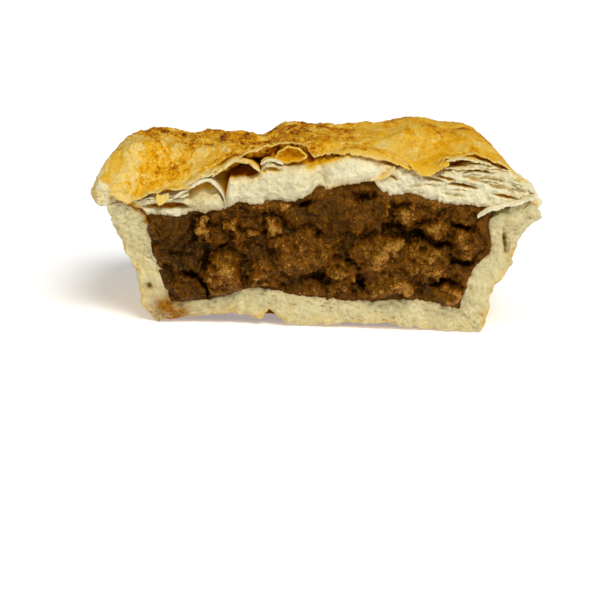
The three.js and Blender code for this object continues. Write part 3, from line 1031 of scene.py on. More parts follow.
@dataclass
class PastryCase:
    """The shortcrust case: floor, tapered wall and rim, torn open at the cut."""

    form: PieForm
    noise: Noise
    finish: PastryFinish = PastryFinish(
        "shortcrust", cream=srgb(220, 208, 161), straw=srgb(224, 188, 106), roughness=0.88, mottle=0.12,
        softness=0.1, cloudiness=0.4, grain_depth_mm=0.2,
    )
    across: int = 440
    along: int = 44
    through: int = 28
    face_back: float = 0.8
    crust: float = 6.0
    wall_length: float = 75.0
    # The torn lower edge on the cut: x and height.
    lower_edge: Outline = Outline(
        (
            (-34, 0.5), (-30, 0.2), (-26.7, 0.8), (-21, 1.5), (-17.3, 2), (-13, 1.5), (-10.7, 1.3),
            (-9.6, 2.5), (-8.9, 3), (-8.2, 2.3), (-7.1, 1.4), (-5.2, 0.3), (0, 0.2), (4.8, 0.6),
            (7.5, 0.7), (10.5, 0.9), (15, 1.1), (16.2, 0.7), (19.7, 0.5), (22.6, 0.3), (28.7, 0), (34, 0),
        )
    )
    # Lumps on the rim at the cut: x, height, radius, how far they stand out.
    rim_lumps: Rows = (
        (42.6, 23.4, 1.7, 1.2), (41.8, 21.8, 1.5, 0.8), (41, 20.4, 1, 0.9), (-40.4, 21.2, 1.9, 1.1),
    )

    def chips(self, x: Array, y: Array) -> Array:
        """How far the torn lower edge lies over the ground; it closes over a few millimetres of depth."""
        ragged = 0.25 + 0.45 * self.noise(on_plan(x, y), 2.4, 4, 0.6)
        return (self.lower_edge(x) + np.maximum(ragged, 0.0)) * (1.0 - ease(y, 3.0, 11.0))

    def cut_face(self, unit: Array, x: Array, z: Array) -> tuple[Array, Array]:
        """Relief of the torn face.

        Broad waves, crumbs, tears that run along the wall and a few pores, rounded off at the
        edges; a slit in the right wall and a hole in the left one.

        Args:
            unit: the points' places in the box lattice, (..., 3).
            x: their places along the cut.
            z: their heights.

        Returns:
            How far the face stands in front of the plane of the cut, and its painted shade, darker in tears,
            pores, the slit and the hole.
        """
        across, _, through = unit.T
        spot = on_cut(x, z)
        wall = np.stack([self.wall_length * across, 0.0 * x, self.crust * through], -1)
        waves = 0.6 * self.noise(spot, 5.5, 2) * ease(1.0 - through, -0.2, 0.5)
        crumbs = 0.4 * self.noise(spot + 20.0, 1.4, 4, 0.7)
        lie = np.abs(self.noise(wall + 50.0, np.array([5.0, 1.0, 1.1]), 3))
        torn = ease(self.noise.smooth(spot + 80.0, 4.0), 0.05, 0.5)
        tears = (1.0 - ease(lie, 0.0, 0.1)) * torn
        near, _, tone = self.noise.cells(spot[:, [0, 2]], 2.1)
        pores = np.where(tone > 0.88, ease(0.8 * (tone - 0.5) - near, 0.0, 0.3), 0.0)
        slit = hump((x - 37.1 + 0.12 * (z - 18.8)) / 0.35) * hump(((z - 18.8) / 2.3) ** 2)
        hole = hump(np.hypot((x + 33.5) / 0.5, (z - 7.2) / 0.8))
        deep = np.maximum(slit, hole)
        edge = np.minimum(self.crust * through, 0.9 + 3.0 * (1.0 - through))
        out = waves + crumbs - 0.3 * tears - 0.4 * pores - 2.0 * deep - 0.5 * np.exp(-edge / 0.5)
        # Painted shade: darker in tears, pores, the slit and the hole, lighter on crumbs and waves.
        painted_shade = 0.2 * tears + 0.3 * pores + 1.3 * deep - 0.6 * crumbs - 0.3 * waves
        return out, np.clip(painted_shade, 0.0, 1.6)

    def roughen(self, spot: Array, through: Array, broad: Array) -> None:
        """Pushes the wall in and out, and the floor's top and the rim up and down.

        The wall has broad swellings, finer bumps that grow towards the cut, and lumps on the rim.

        Args:
            spot: the points, which are moved.
            through: 0 outside, 1 inside.
            broad: swellings of 9 mm.
        """
        near_cut = np.exp(-spot[:, 1] / 1.5)
        bumps = 0.25 * broad + (0.06 + 0.4 * near_cut) * self.noise(spot, 2.2, 4, 0.6)
        for x, z, radius, height in self.rim_lumps:
            lump = hump(np.hypot(spot[:, 0] - x, spot[:, 2] - z) / radius)
            bumps += height * (1.0 - through) * lump * np.exp(-spot[:, 1] / 3.0)
        wall = ease(spot[:, 2], 0.5, 4.0)
        out = spot[:, :2] / np.array([self.form.rim_half_width, self.form.rim_length])
        out /= np.maximum(np.linalg.norm(out, axis=1, keepdims=True), 0.2)
        spot[:, :2] += out * (bumps * wall)[:, None]
        spot[:, 2] += (1.0 - wall) * through * 0.4 * near_cut * self.noise(spot, 3.0, 3)
        spot[:, 2] += ease(spot[:, 2], 19.0, 24.0) * 0.5 * self.noise(spot, 5.0, 2)

    def bend_at_cut(self, spot: Array, through: Array) -> None:
        """Bends both walls to their lines on the cut and raises the rim there.

        Each bend is a bell or a step over height, and fades over a few millimetres of depth.

        Args:
            spot: the points, which are moved.
            through: 0 outside, 1 inside.
        """
        left = ease(-spot[:, 0], 30.0, 33.0)
        spot[:, 0] += 1.9 * ease(spot[:, 2], 17.5, 22.0) * ease(-spot[:, 0], 37.0, 42.0)
        height = spot[:, 2].copy()
        shift = 1.8 * left * (1.0 - ease(height, 0.0, 3.4))
        shift += through * self.form.inner_shift(spot[:, 0], height)
        right = ease(spot[:, 0], 30.0, 33.0) * (1.0 - through)
        shift += right * (1.2 * hump((height - 14.0) / 3.6) - 0.5 * hump((height - 7.4) / 2.4))
        shift -= 2.0 * ease(spot[:, 0], 41.8, 44.0) * ease(height, 23.8, 25.4)
        spot[:, 0] += shift * np.exp(-spot[:, 1] / 3.0)
        far = ease(spot[:, 0], 38.0, 42.5) + 0.6 * ease(-spot[:, 0], 36.0, 40.0)
        spot[:, 2] += 1.3 * far * ease(height, 18.0, 24.0) * np.exp(-spot[:, 1] / 5.0)
        inner = ease(through, 0.7, 1.0) * np.exp(-spot[:, 1] / 1.5)
        spot[:, 2] += 0.4 * inner * self.noise(spot + 70.0, 1.3, 3, 0.7)

    def tones(self, spot: Array, face: Array, through: Array, broad: Array, lower: Array) -> dict[str, Array]:
        """Bake, soak and the seam's painted shade of each point.

        The outer side is tan, browner underneath and paler at the rim; the torn face is cream,
        with an uneven tan line along its outer edge, gravy at the left foot, along the filling
        and in the seam under the lid's left end, which is also painted darker as painted shade. The
        underside seen in the notches of the torn lower edge is painted dark brown, as painted shade.

        Args:
            spot: the points.
            face: whether they lie on the torn face.
            through: 0 outside, 1 inside.
            broad: swellings of 9 mm.
            lower: whether they lie under the floor.

        Returns:
            The numbers by name.
        """
        x, y, height = spot.T
        baked = 0.3 + 0.08 * broad - 0.16 * ease(height, 13.0, 23.0) - 0.14 * np.exp(-y / 1.2)
        patchy = self.noise(spot + 30.0, 3.0, 3, 0.6)
        line = 0.26 * np.exp(-self.crust * through) * np.clip(0.75 + patchy, 0.2, 1.4)
        line = line * (1.0 - ease(height, 16.0, 20.0)) * ease(height, 0.2, 2.0)
        # Painted shade: the underside in the notches of the torn lower edge is painted dark brown.
        notch_shade = 0.9 * lower * (height < 3.2) * (through < 0.5)
        notch_shade = notch_shade * ease(y, 1.5, 4.0) * np.exp(-y / 20.0)
        crust = np.where(face, line + 0.07 * np.clip(patchy, 0.0, 1.0), (baked + notch_shade) * (1.0 - through))
        foot = hump(np.hypot((x + 28.6 + 0.4 * (height - 2.0)) / 3.6, (height - 2.2) / 2.9))
        foot = np.clip(foot * (1.0 + 0.5 * patchy), 0.0, 1.0)
        from_filling = self.crust * (1.0 - through)
        rim = np.exp(-from_filling / 0.4) * (height < 23.0)
        # The seam under the lid's left end: a gravy stain, and painted shade between lid and case.
        seam = np.exp(-from_filling / 0.35) * (height > 20.0)
        seam = seam * ease(-x, 32.5, 34.0) * (1.0 - ease(-x, 38.0, 40.0))
        soak = np.where(face, 1.3 * foot + 0.3 * rim + 1.6 * seam, 0.5 * foot)
        return {"bake": crust, "soak": soak, "seam": 1.2 * seam}

    def build(self) -> Surface:
        """A box lattice bent into the half dish: p across, q along the depth, w from out to in.

        Returns:
            The case, with its front face at the cut.
        """
        p = np.linspace(-1.0, 1.0, self.across)
        q = np.linspace(0.0, 1.0, self.along) ** 1.3
        unit, quads = box_skin(p, q, np.linspace(0.0, 1.0, self.through))
        across, along, through = unit.T
        outside = self.form.outside(across, along)
        lower = outside[:, 2] < 0.01
        outside[:, 2] += np.where(lower, self.chips(outside[:, 0], outside[:, 1]), 0.0)
        spot = mix(outside, self.form.inside(across, along), through[:, None])
        broad = self.noise(spot, 9.0, 3)
        self.roughen(spot, through, broad)
        self.bend_at_cut(spot, through)
        face = along == 0.0
        relief, painted_shade = self.cut_face(unit, spot[:, 0], spot[:, 2])
        behind = spot[:, 1] + self.face_back * np.exp(-spot[:, 1] / 2.0)
        spot[:, 1] = np.where(face, -relief, behind)
        values = self.tones(spot, face, through, broad, lower)
        # The torn face's painted shade, with the seam's painted shade.
        values["painted_shade"] = np.where(face, np.maximum(painted_shade, values.pop("seam")), 0.0)
        return Surface(spot, quads, values=values)

    def dress(self, place: Vector) -> None:
        """Adds the crust to the part, in place of the plain case."""
        piece = self.build().to_object("case_crust", place, self.finish.material())
        add_piece(piece, "pastry_case")


@dataclass
class Filling:
    """Minced beef in gravy, seen at the cut and running through to the back wall."""

    form: PieForm
    noise: Noise
    finish: MinceFinish = MinceFinish("mince")
    across: int = 526
    up: int = 174
    recess: float = 1.0
    edge_recess: float = 0.55
    foot_half_width: float = 28.9
    spread: float = 5.4
    heart_height: float = 16.0
    depth: float = 37.0
    # Rings behind the face: depth and how far they have narrowed.
    rings: Pairs = ((6.0, 0.99), (14.0, 0.97), (24.0, 0.93), (32.0, 0.82), (36.0, 0.6))
    # Clumps: x, height, half width, half height, how far out they reach, how much paler their tops are,
    # partly their own colour and partly painted light.
    clumps: Rows = (
        (-18.6, 10.6, 4.2, 4.8, 2.6, 0), (-23.3, 19.2, 2, 2.6, 1.9, 0.2),
        (-17.2, 20.4, 1.5, 1.7, 1.2, 0.1), (-29, 17.8, 4.2, 3.2, 1, 0),
        (-9.2, 20, 2.1, 2.2, 2.1, 0.1), (-13.2, 18.9, 1.2, 1, 1.3, 0.12),
        (-3.5, 15.3, 6.6, 4.7, 2.2, 0.02), (-10.4, 11.2, 5.6, 3, 1.2, 0),
        (12.6, 15.4, 6.4, 4.6, 2.8, 0.05), (20.4, 14.4, 5.8, 4.4, 2.8, 0.05),
        (15.1, 10, 6, 3.6, 2.8, 0.04), (17.1, 24, 2.8, 2.4, 1.7, 0.03),
        (23.1, 21.4, 3.4, 2.4, 1.9, 0.02), (29.2, 18, 3.6, 3.2, 1.6, 0),
        (26.2, 7.4, 3, 3.2, 1.6, 0.03), (4.3, 10.8, 3.8, 3.4, 1.8, 0),
        (-26, 7, 3.8, 2.8, 1.1, 0.02), (5.5, 23.5, 8, 4.5, 1, 0),
        (-9, 25.2, 5, 2.4, 0.9, 0),
    )
    # Crevices between them: x, height, half width, half height.
    crevices: Rows = (
        (-22.3, 13.4, 0.8, 2.4), (-19.6, 16.4, 1, 0.8), (-24.4, 9.9, 2.2, 0.5),
        (-22.4, 7.6, 0.4, 2), (1.3, 10.3, 2.4, 0.9), (14.4, 21.4, 2, 0.9),
        (19, 19.9, 2.8, 1), (28.4, 21.3, 1.7, 0.6), (24.4, 17.8, 1.6, 0.7),
        (28.6, 14.2, 2.2, 0.7), (25.6, 10.4, 2.4, 0.8), (8.9, 9.9, 0.8, 1.2),
        (8.9, 27, 1.6, 0.9), (-2.8, 25.6, 1.4, 0.8),
    )
    crevice_depth: float = 1.9
    crumb_count: int = 420
    crumb_seed: int = 21
    crumb_rows: int = 7
    crumb_turns: int = 12

    def drift(self, spot: Array, size: float) -> Array:
        """Three uneven fields of one size that move points about."""
        return np.stack([self.noise(spot + n, size, 3) for n in (0.0, 31.0, 63.0)], -1)

    def relief(self, spot: Array) -> tuple[Array, Array]:
        """Relief of the face.

        Clumps are domes over warped ellipses, each paler towards its top by its own tint, partly its
        own colour and partly painted light. Lumps of 2.5 mm, knobs of 1.3 mm and granules of 0.6 mm
        are folded noise, so puffs are parted by creases. Crevices are soft pits. Gravy smooths a
        patch in the upper middle, and the left end is painted darker, as painted shade.

        Args:
            spot: places on the plane of the cut, (..., 3).

        Returns:
            How far each place stands out, and how much paler or darker it is, partly painted light and shade.
        """
        coarse, fine = self.drift(spot, 3.6), self.drift(spot, 1.1)
        moved = spot + 1.1 * coarse + 0.35 * fine
        x, z = moved[..., 0], moved[..., 2]
        clump = np.zeros(x.shape)
        tint = np.zeros(x.shape)
        for middle, level, half, tall, out, pale in self.clumps:
            away = np.hypot((x - middle) / half, (z - level) / tall)
            body = out * (0.8 * dome(away) + 0.2 * ease(1.0 - away, 0.0, 0.8))
            # Each clump is paler towards its top: partly its own colour, partly painted light.
            tint = np.where(body > clump, pale * ease(body / out, 0.2, 0.9), tint)
            clump = np.maximum(clump, body)
        gravy = hump(np.hypot((x - 3.0) / 9.0, (z - 23.5) / 4.5))
        lumps = self.noise.billowed(spot + 0.9 * coarse, 5.0, 2, 0.6)
        knobs = self.noise.billowed(spot + 20.0 + 0.5 * fine, 2.6, 2, 0.55)
        grains = self.noise.billowed(spot + 40.0 + 0.3 * fine, 1.2, 2, 0.6)
        high = 0.7 * self.noise(spot, 9.0, 2) + 1.15 * clump + 1.6 * lumps
        high += (1.0 - 0.5 * gravy) * (0.9 * knobs + 0.32 * grains)
        pit = np.zeros(x.shape)
        for middle, level, half, tall in self.crevices:
            away = np.hypot((x - middle) / half, (z - level) / tall)
            pit = np.maximum(pit, hump(away**1.3 / 0.95))
        # Painted shade darkens the left end; the gravy patch is a little darker.
        tint = tint - 0.18 * ease(-x, 20.5, 24.5) * (tint < 0.1) - 0.05 * gravy
        return high - self.crevice_depth * pit, tint

    def face(self) -> tuple[Array, Array, Array]:
        """A grid over the cut between the floor, the walls and the lid, with the relief on it.

        Returns:
            The face's points, the flat ground under them, and their tint, partly painted light and shade.
        """
        u, v = np.meshgrid(np.linspace(-1.0, 1.0, self.across), np.linspace(0.0, 1.0, self.up), indexing="ij")
        half = self.foot_half_width + self.spread * ease(v, -0.15, 0.95)
        x = u * half
        low = self.form.floor_top(x, 0.0 * x, 0.0 * x) * self.form.tilt(x) - 0.5
        high = self.form.lid_under(x, 0.0 * x) + 0.4
        z = mix(low, np.maximum(high, low + 12.0), v)
        x = x + self.form.inner_shift(x, z) * ease(np.abs(u), 0.6, 1.0)
        flat = on_cut(x, z)
        out, tint = self.relief(flat)
        edge = np.minimum.reduce([(1.0 - np.abs(u)) * half, v * 18.0, (1.0 - v) * 18.0])
        out = out * ease(edge, -0.3, 1.6)
        back = mix(self.edge_recess, self.recess, ease(edge, 0.0, 2.5))
        return np.stack([x, back - out, z], -1), flat, tint

    def paint_light(self, out: Array, tint: Array) -> Array:
        """Painted light and shade of the mince: paler where it rises over its surroundings of three sizes.

        Args:
            out: how far the face stands out, on its grid.
            tint: how much paler or darker it is, partly painted light and shade.

        Returns:
            Numbers on the grid, painted paler along the border to lift the shade there.
        """
        close, near, far = softened(out, 3), softened(out, 9), softened(out, 30)
        # Painted light and shade: paler where the face rises over its surroundings, darker where it sinks,
        # and paler along the border.
        painted_light = 0.33 + 0.34 * (out - close) + 0.28 * (close - near)
        painted_light = painted_light + 0.15 * (near - far) + 0.04 * (far + 0.6)
        across, up = (np.minimum(np.arange(n), np.arange(n)[::-1]) for n in tint.shape)
        border = np.minimum(0.13 * across[:, None], 0.1 * up[None, :])
        return np.clip(painted_light + tint + 0.16 * (1.0 - ease(border, 0.2, 1.6)), 0.02, 0.82)

    def build(self) -> tuple[Surface, Surface]:
        """The mass, a fine grid closed behind by narrowing rings, and loose crumbs on its face.

        Returns:
            The mass and the crumbs.
        """
        front, flat, tint = self.face()
        rim = flat.reshape(-1, 3)[border_of(np.arange(tint.size).reshape(tint.shape))]
        heart = np.array([0.0, 0.0, self.heart_height])
        loops = []
        for depth, narrow in self.rings:
            loop = heart + (rim - heart) * np.array([narrow, 1.0, min(1.0, narrow + 0.03)])
            loop[:, 1] = depth
            loops.append(loop)
        tip = np.array([0.0, self.depth, self.heart_height])
        points, quads, triangles = lined_sheet(front, loops, tip)
        painted_light = self.paint_light(-front[..., 1], tint)
        behind = np.full(len(points) - tint.size, 0.3)
        values = {"painted_light": np.concatenate([painted_light.ravel(), behind])}
        return Surface(points, quads, triangles, values), self.crumbs(front, painted_light)

    def ball(self) -> tuple[Array, Array, Array]:
        """A ball of radius 1: a grid of latitude and longitude, and a point at each pole.

        Returns:
            Points, quads and triangles.
        """
        rise = np.linspace(0.0, np.pi, self.crumb_rows + 2)[1:-1]
        turns = np.linspace(0.0, 2.0 * np.pi, self.crumb_turns + 1)[:-1]
        up, around = np.meshgrid(rise, turns, indexing="ij")
        rows = np.stack([np.sin(up) * np.cos(around), np.sin(up) * np.sin(around), np.cos(up)], -1)
        points = np.concatenate([rows.reshape(-1, 3), [[0.0, 0.0, 1.0], [0.0, 0.0, -1.0]]])
        index = np.arange(up.size).reshape(up.shape)
        index = np.concatenate([index, index[:, :1]], axis=1)
        top, bottom = (np.full(self.crumb_turns, up.size + pole) for pole in (0, 1))
        upper = np.stack([top, index[0, :-1], index[0, 1:]], -1)
        lower = np.stack([bottom, index[-1, 1:], index[-1, :-1]], -1)
        return points, sheet_quads(index), np.concatenate([upper, lower])

    def crumbs(self, front: Array, painted_light: Array) -> Surface:
        """Loose crumbs: balls half sunk in the face, stretched and pushed in and out by noise.

        Args:
            front: the face's points.
            painted_light: the face's painted light and shade; crumbs are thickest where it is palest.

        Returns:
            All crumbs as one surface.
        """
        rng = np.random.default_rng(self.crumb_seed)
        place = np.stack([rng.integers(8, n - 8, 6 * self.crumb_count) for n in painted_light.shape], -1)
        likely = ease(painted_light[place[:, 0], place[:, 1]], 0.25, 0.75)
        place = place[rng.random(len(place)) < likely][: self.crumb_count]
        middle = front[place[:, 0], place[:, 1]]
        radius = 0.16 + 0.36 * rng.random(len(place)) ** 2.4
        ball, quads, caps = self.ball()
        pushed = 1.0 + 0.8 * self.noise.smooth(ball[None] + 9.0 * middle[:, None], 0.8)
        shape = ball[None] * pushed[..., None]
        shape = shape * (radius[:, None] * rng.uniform(0.6, 1.5, (len(place), 3)))[:, None, :]
        points = (shape + (middle + np.array([0.0, 0.12, 0.0]))[:, None, :]).reshape(-1, 3)
        first = (len(ball) * np.arange(len(place)))[:, None, None]
        held = painted_light[place[:, 0], place[:, 1]] + rng.uniform(-0.1, 0.16, len(place))
        return Surface(
            points,
            (quads[None] + first).reshape(-1, 4),
            (caps[None] + first).reshape(-1, 3),
            {"painted_light": np.repeat(held, len(ball))},
        )

    def dress(self, place: Vector) -> None:
        """Adds the mince to the part, in place of the plain filling, and its crumbs.

        Args:
            place: where the middle of the cut's lower edge lies.
        """
        mass, crumbs = self.build()
        mince = self.finish.material()
        add_piece(mass.to_object("mince_mass", place, mince), "filling")
        add_piece(crumbs.to_object("mince_crumbs", place, mince))


@dataclass(frozen=True)
class Leaf:
    """One thin leaf of puff pastry that shows at the cut.

    Its line runs along x; from its front it goes back by its depth and climbs by its rise. Bake is
    how brown its edge is, inner how brown it is further back.
    """

    line: Pairs
    front: float
    depth: float
    thickness: float
    rise: float
    bake: float
    inner: float


@dataclass(frozen=True)
class DoughPoints:
    """Points of the lid's dough.

    Low and top are the dough's limits at each place. Through goes from 0 at the bottom to 1 at the
    top. Covered is 1 under the skin, face is true on the torn face, outer is 1 on the outer side.
    """

    x: Array
    y: Array
    z: Array
    low: Array
    top: Array
    through: Array
    covered: Array
    face: Array
    outer: Array

    @property
    def near_cut(self) -> Array:
        """1 at the cut, fading out behind it."""
        return np.exp(-self.y / 2.0)


@dataclass
class Lid:
    """The puff pastry lid: torn dough with pale sides, thin leaves and the golden skin on top."""

    form: PieForm
    noise: Noise
    dough_finish: PastryFinish = PastryFinish(
        "torn_dough", cream=srgb(241, 233, 196), roughness=0.85, mottle=0.1, speckle=0.6, softness=0.2,
        cloudiness=0.45, grain_depth_mm=0.22,
    )
    skin_finish: PastryFinish = PastryFinish(
        "golden_skin", roughness=0.45, gloss=0.1, grain_mm=0.45, grain_depth_mm=0.1, flaking=0.18,
        cloudiness=0.15, least_bake=0.23,
    )
    across: int = 460
    along: int = 48
    through: int = 44
    skin_across: int = 392
    skin_along: int = 212
    skin_thickness: float = 0.3
    skin_sink: float = 1.6
    leaf_pitch: float = 0.9
    under_bake: float = 0.88
    # How far in the rings under the skin lie, as shares of its border.
    skin_rings: tuple[float, ...] = (
        0.0, 0.008, 0.02, 0.035, 0.055, 0.08, 0.12, 0.18, 0.27, 0.4, 0.6, 0.8,
    )
    # The top of the torn dough on the cut: x and height.
    dough_at_cut: Outline = Outline(
        (
            (-45, 27), (-38, 25.1), (-33, 25.6), (-29, 26.3), (-27.2, 26.6), (-26.2, 25.4), (-24.5, 26),
            (-22, 26.5), (-20, 26.2), (-19.3, 25.4), (-18.9, 25.4), (-18.3, 28.6), (-17.1, 29.4),
            (-15.2, 29.7), (-13, 30), (-12.3, 30.6), (-11.8, 32.2), (-11, 33.1), (-9.6, 33.1), (-8, 32.6),
            (-7.2, 32.4), (-6, 32.4), (-4.8, 32.6), (-2.5, 32.7), (-0.6, 33.4), (2.3, 34.7), (5.6, 35.6),
            (8.7, 35.3), (11.4, 34.2), (13.4, 33.4), (16.2, 33), (20.5, 32.2), (24.5, 32.6), (27, 33.2),
            (29.5, 34.2), (33, 34.2), (36, 33.5), (42, 30.8), (45, 29.6),
        )
    )
    # How far the blocks of dough stand in front of the cut: x and distance.
    proud: Outline = Outline(
        (
            (-45, -0.6), (-36, -0.3), (-30, -0.4), (-27.2, -0.3), (-26.2, 0.5), (-20, 0.4),
            (-19.1, -0.8), (-18.2, 0.6), (-16, 0.9), (-8, 1), (-2.3, 1.7), (-1.2, -0.5), (2, 0.5),
            (6, 1.5), (10, 1.1), (13, -0.2), (15, 0.2), (26, 0.4), (38, 0.1), (45, -0.6),
        )
    )
    # The skin's front edge: x and how far it lies behind the cut.
    skin_edge: Outline = Outline(
        (
            (-45, 1), (-41, -0.8), (-38, -0.9), (-35, -0.1), (-28, -0.5), (-22, 0.1), (-16, 0.4),
            (-12.5, 0.6), (-10, 1.6), (-8, 2.8), (-5, 3.2), (-3.2, 2.6), (-1.8, 1.3), (0.5, 0.6),
            (3, -0.5), (6, -1.6), (10, -1.2), (13, -0.1), (15, -0.4), (18, -1), (23, -0.9), (25.5, 0.8),
            (29, 1.4), (33, 1), (38, 0.8), (45, 1),
        )
    )
    # How far the skin's front edge hangs down: x and distance.
    sag: Outline = Outline(
        ((-45, 0), (-30, 0.2), (-26, 0.5), (-22, 0.9), (-19, 0.6), (-16.5, 0.3), (-14.5, 0), (45, 0))
    )
    # Slits in the dough: x, height, half length, half height, turn, depth, bake.
    slits: Rows = (
        (-30.2, 23.5, 4, 0.5, 0.05, 3.5, 0.6), (-32.6, 24.6, 3, 0.18, 0.08, 1.4, 0.3),
        (-9.6, 31.7, 1.5, 0.4, -0.1, 1.6, 0.3), (-11.3, 31.3, 0.4, 0.3, 0, 1.2, 0.4),
        (-28.4, 25.2, 3, 0.2, 0.2, 1.4, 0.3), (22, 31, 1.6, 0.3, -0.2, 1.2, 0.25),
        (24.6, 31.2, 1.8, 0.22, -0.18, 1.6, 0.5), (28, 29.9, 2.5, 0.28, -0.14, 2.2, 0.55),
        (30.2, 32.8, 1.5, 0.4, -0.05, 2, 0.5), (32.4, 32.8, 0.7, 0.35, -0.2, 1.2, 0.3),
        (33.8, 31.4, 1.8, 0.5, -0.2, 0.9, 0.16), (30.6, 31.3, 2.4, 0.5, -0.15, 0.9, 0.16),
        (36.6, 28, 2.1, 0.26, -0.2, 2, 0.5), (35.4, 29.9, 2, 0.4, -0.2, 0.8, 0.14),
        (39.4, 29.4, 1.5, 0.35, -0.3, 0.9, 0.16), (14.2, 31, 0.9, 0.3, -0.5, 1.2, 0.3),
        (26.5, 28, 2.2, 0.3, -0.1, 0.5, 0.08), (19, 29.6, 1.5, 0.4, 0.2, 0.6, 0.06),
    )
    # Browner and paler areas of the skin: x, y, radius, change of bake.
    spots: Rows = (
        (-38, 32, 7, 0.3), (-20, 25, 9, 0.18), (-11, 22, 7, 0.16), (-4, 13, 5, 0.12),
        (23, 13, 4, 0.16), (32, 18, 6, 0.14), (31, 37, 7, 0.22), (2, 40, 9, 0.12),
        (16, 10, 6, -0.08), (34, 8, 4, -0.1), (14, 3, 6, -0.08), (-28, 8, 7, -0.16),
        (-46, 8, 7, -0.4), (-42, 15, 4, -0.2),
    )
    # Single flakes on the skin: x, y, half width, half length, turn, height, change of bake.
    flakes: Rows = (
        (-31, 17, 2.6, 9, 0.1, 0.5, -0.18), (-24, 7, 5.5, 4, 0.4, 0.4, -0.04),
        (-35.5, 9, 3.4, 4.6, -0.2, 0.4, -0.05), (-15, 11, 5, 5, 0.3, 0.35, -0.04),
        (-21, 21, 4.5, 6, -0.4, 0.35, -0.06), (4, 12, 4, 9, -0.3, 0.5, -0.1),
        (15, 6, 8, 5.5, 0.3, 0.4, -0.08), (21, 13, 2.2, 5, 0.6, 0.5, -0.2),
        (27, 9, 4, 5, 0.2, 0.35, -0.12), (31.5, 13, 2, 8, 0.4, 0.35, -0.12),
        (-10, 35, 6, 5, 0.3, 0.3, -0.1), (10, 34, 8, 5, -0.2, 0.35, -0.1),
        (28, 34, 6, 6, 0.3, 0.35, -0.12), (-32, 38, 5, 4, 0, 0.3, -0.12),
        (-38, 22, 2, 6, 0.1, 0.3, -0.1), (12, 22, 6, 5, 0.2, 0.3, -0.06),
    )
    # The leaves that have parted at the cut, left to right.
    plan: tuple[Leaf, ...] = (
        Leaf(((-37.5, 24.4), (-34, 24.4), (-30, 24.9), (-26, 26)), 0.1, 5, 0.7, 0.2, 0.06, 0.16),
        Leaf(((-32.4, 24.7), (-31.2, 24.1), (-29.9, 24.7)), -1.2, 0.9, 0.2, 1.8, 0.2, 0.24),
        Leaf(
            (
                (-29, 25.4), (-26.5, 26.8), (-25.3, 27.7), (-23.5, 28.7), (-21.5, 28.7), (-20.2, 27.6),
                (-19.2, 26), (-18.6, 24.6),
            ),
            -0.5, 5, 0.95, 0.12, 0.0, 0.2,
        ),
        Leaf(((-27, 27.6), (-24.5, 29.2), (-22, 30), (-20.4, 30.6)), -0.2, 5, 0.5, 0.15, 0.12, 0.3),
        Leaf(
            (
                (-21.6, 29.8), (-20, 31.1), (-18.8, 32.1), (-17.3, 32.9), (-14.6, 32.9), (-13.4, 32.4),
                (-12.6, 31.7), (-12, 31.2),
            ),
            -0.3, 6, 1.0, 0.06, 0.18, 0.85,
        ),
        Leaf(((-12.1, 32.8), (-11, 33.4), (-9.4, 33.3), (-7.6, 32.8)), -0.9, 3, 0.6, 0.1, 0.0, 0.3),
        Leaf(((9.6, 30.6), (11.4, 30.4), (13, 31.4), (14.4, 32.8)), -1.0, 0.8, 0.2, 1.2, 0.16, 0.2),
        Leaf(
            ((17.2, 33.6), (19.2, 32.6), (20.8, 32.2), (22.6, 32.7), (25, 33.9)),
            -1.0, 1.2, 0.3, 1.0, 0.4, 0.56,
        ),
        Leaf(
            ((23.5, 34.3), (26, 35), (28.5, 35.2), (31, 34.7), (33.5, 34.2)),
            -0.3, 4, 0.5, 0.05, 0.1, 0.4,
        ),
        Leaf(((24, 33.2), (27, 33.2), (30, 33.5), (34, 33)), -0.3, 6, 0.4, 0.06, 0.1, 0.5),
        Leaf(((28, 32.3), (31, 32.5), (36, 31.8), (40, 30.4)), -0.3, 5, 0.4, 0.05, 0.03, 0.1),
        Leaf(((31, 31.1), (34, 31), (38.5, 29.8)), -0.4, 5, 0.35, 0.05, 0.03, 0.1),
        Leaf(
            ((31.2, 23.9), (33, 25), (36, 26), (39, 26.8), (42.4, 27.9)),
            -1.6, 5, 0.8, 0.12, 0.0, 0.06,
        ),
    )
    bubble_middle: tuple[float, float] = (-6.3, 34.5)
    bubble_half: tuple[float, float] = (2.5, 1.6)

    def cover(self, x: Array, y: Array) -> Array:
        """How far out the golden skin reaches.

        Args:
            x: along the cut.
            y: behind it.

        Returns:
            Rings of the lid's plan, 0 to 1, further out at the right and at the back.
        """
        ends = mix(0.89, 0.95, ease(x, -30.0, 24.0))
        left = ease(-x, 10.0, 30.0) * (0.05 * np.exp(-y / 2.5) + 0.07 * ease(y, 13.0, 24.0))
        reach = ends + left - 0.09 * ease(x, 18.0, 36.0) * np.exp(-y / 6.0)
        return mix(reach, 0.965, ease(y, 14.0, 32.0))

    def pocket(self, x: Array, y: Array) -> Array:
        """How far the dough lies under the skin; the pockets close with depth, and a web parts two.

        Args:
            x: along the cut.
            y: behind it.

        Returns:
            Distances.
        """
        reach = 4.0 + 9.0 * hump((x + 13.0) / 8.0) + 3.0 * hump((x - 27.0) / 4.0)
        open_at_cut = self.form.lid_top(x, 0.0 * x) - self.skin_thickness - self.dough_at_cut(x)
        web = 1.0 - hump((x + 9.2 + 0.2 * y) / 0.5) * ease(y, 1.0, 3.0)
        return np.maximum(open_at_cut, 0.0) * web * (1.0 - ease(y, 0.0, reach))

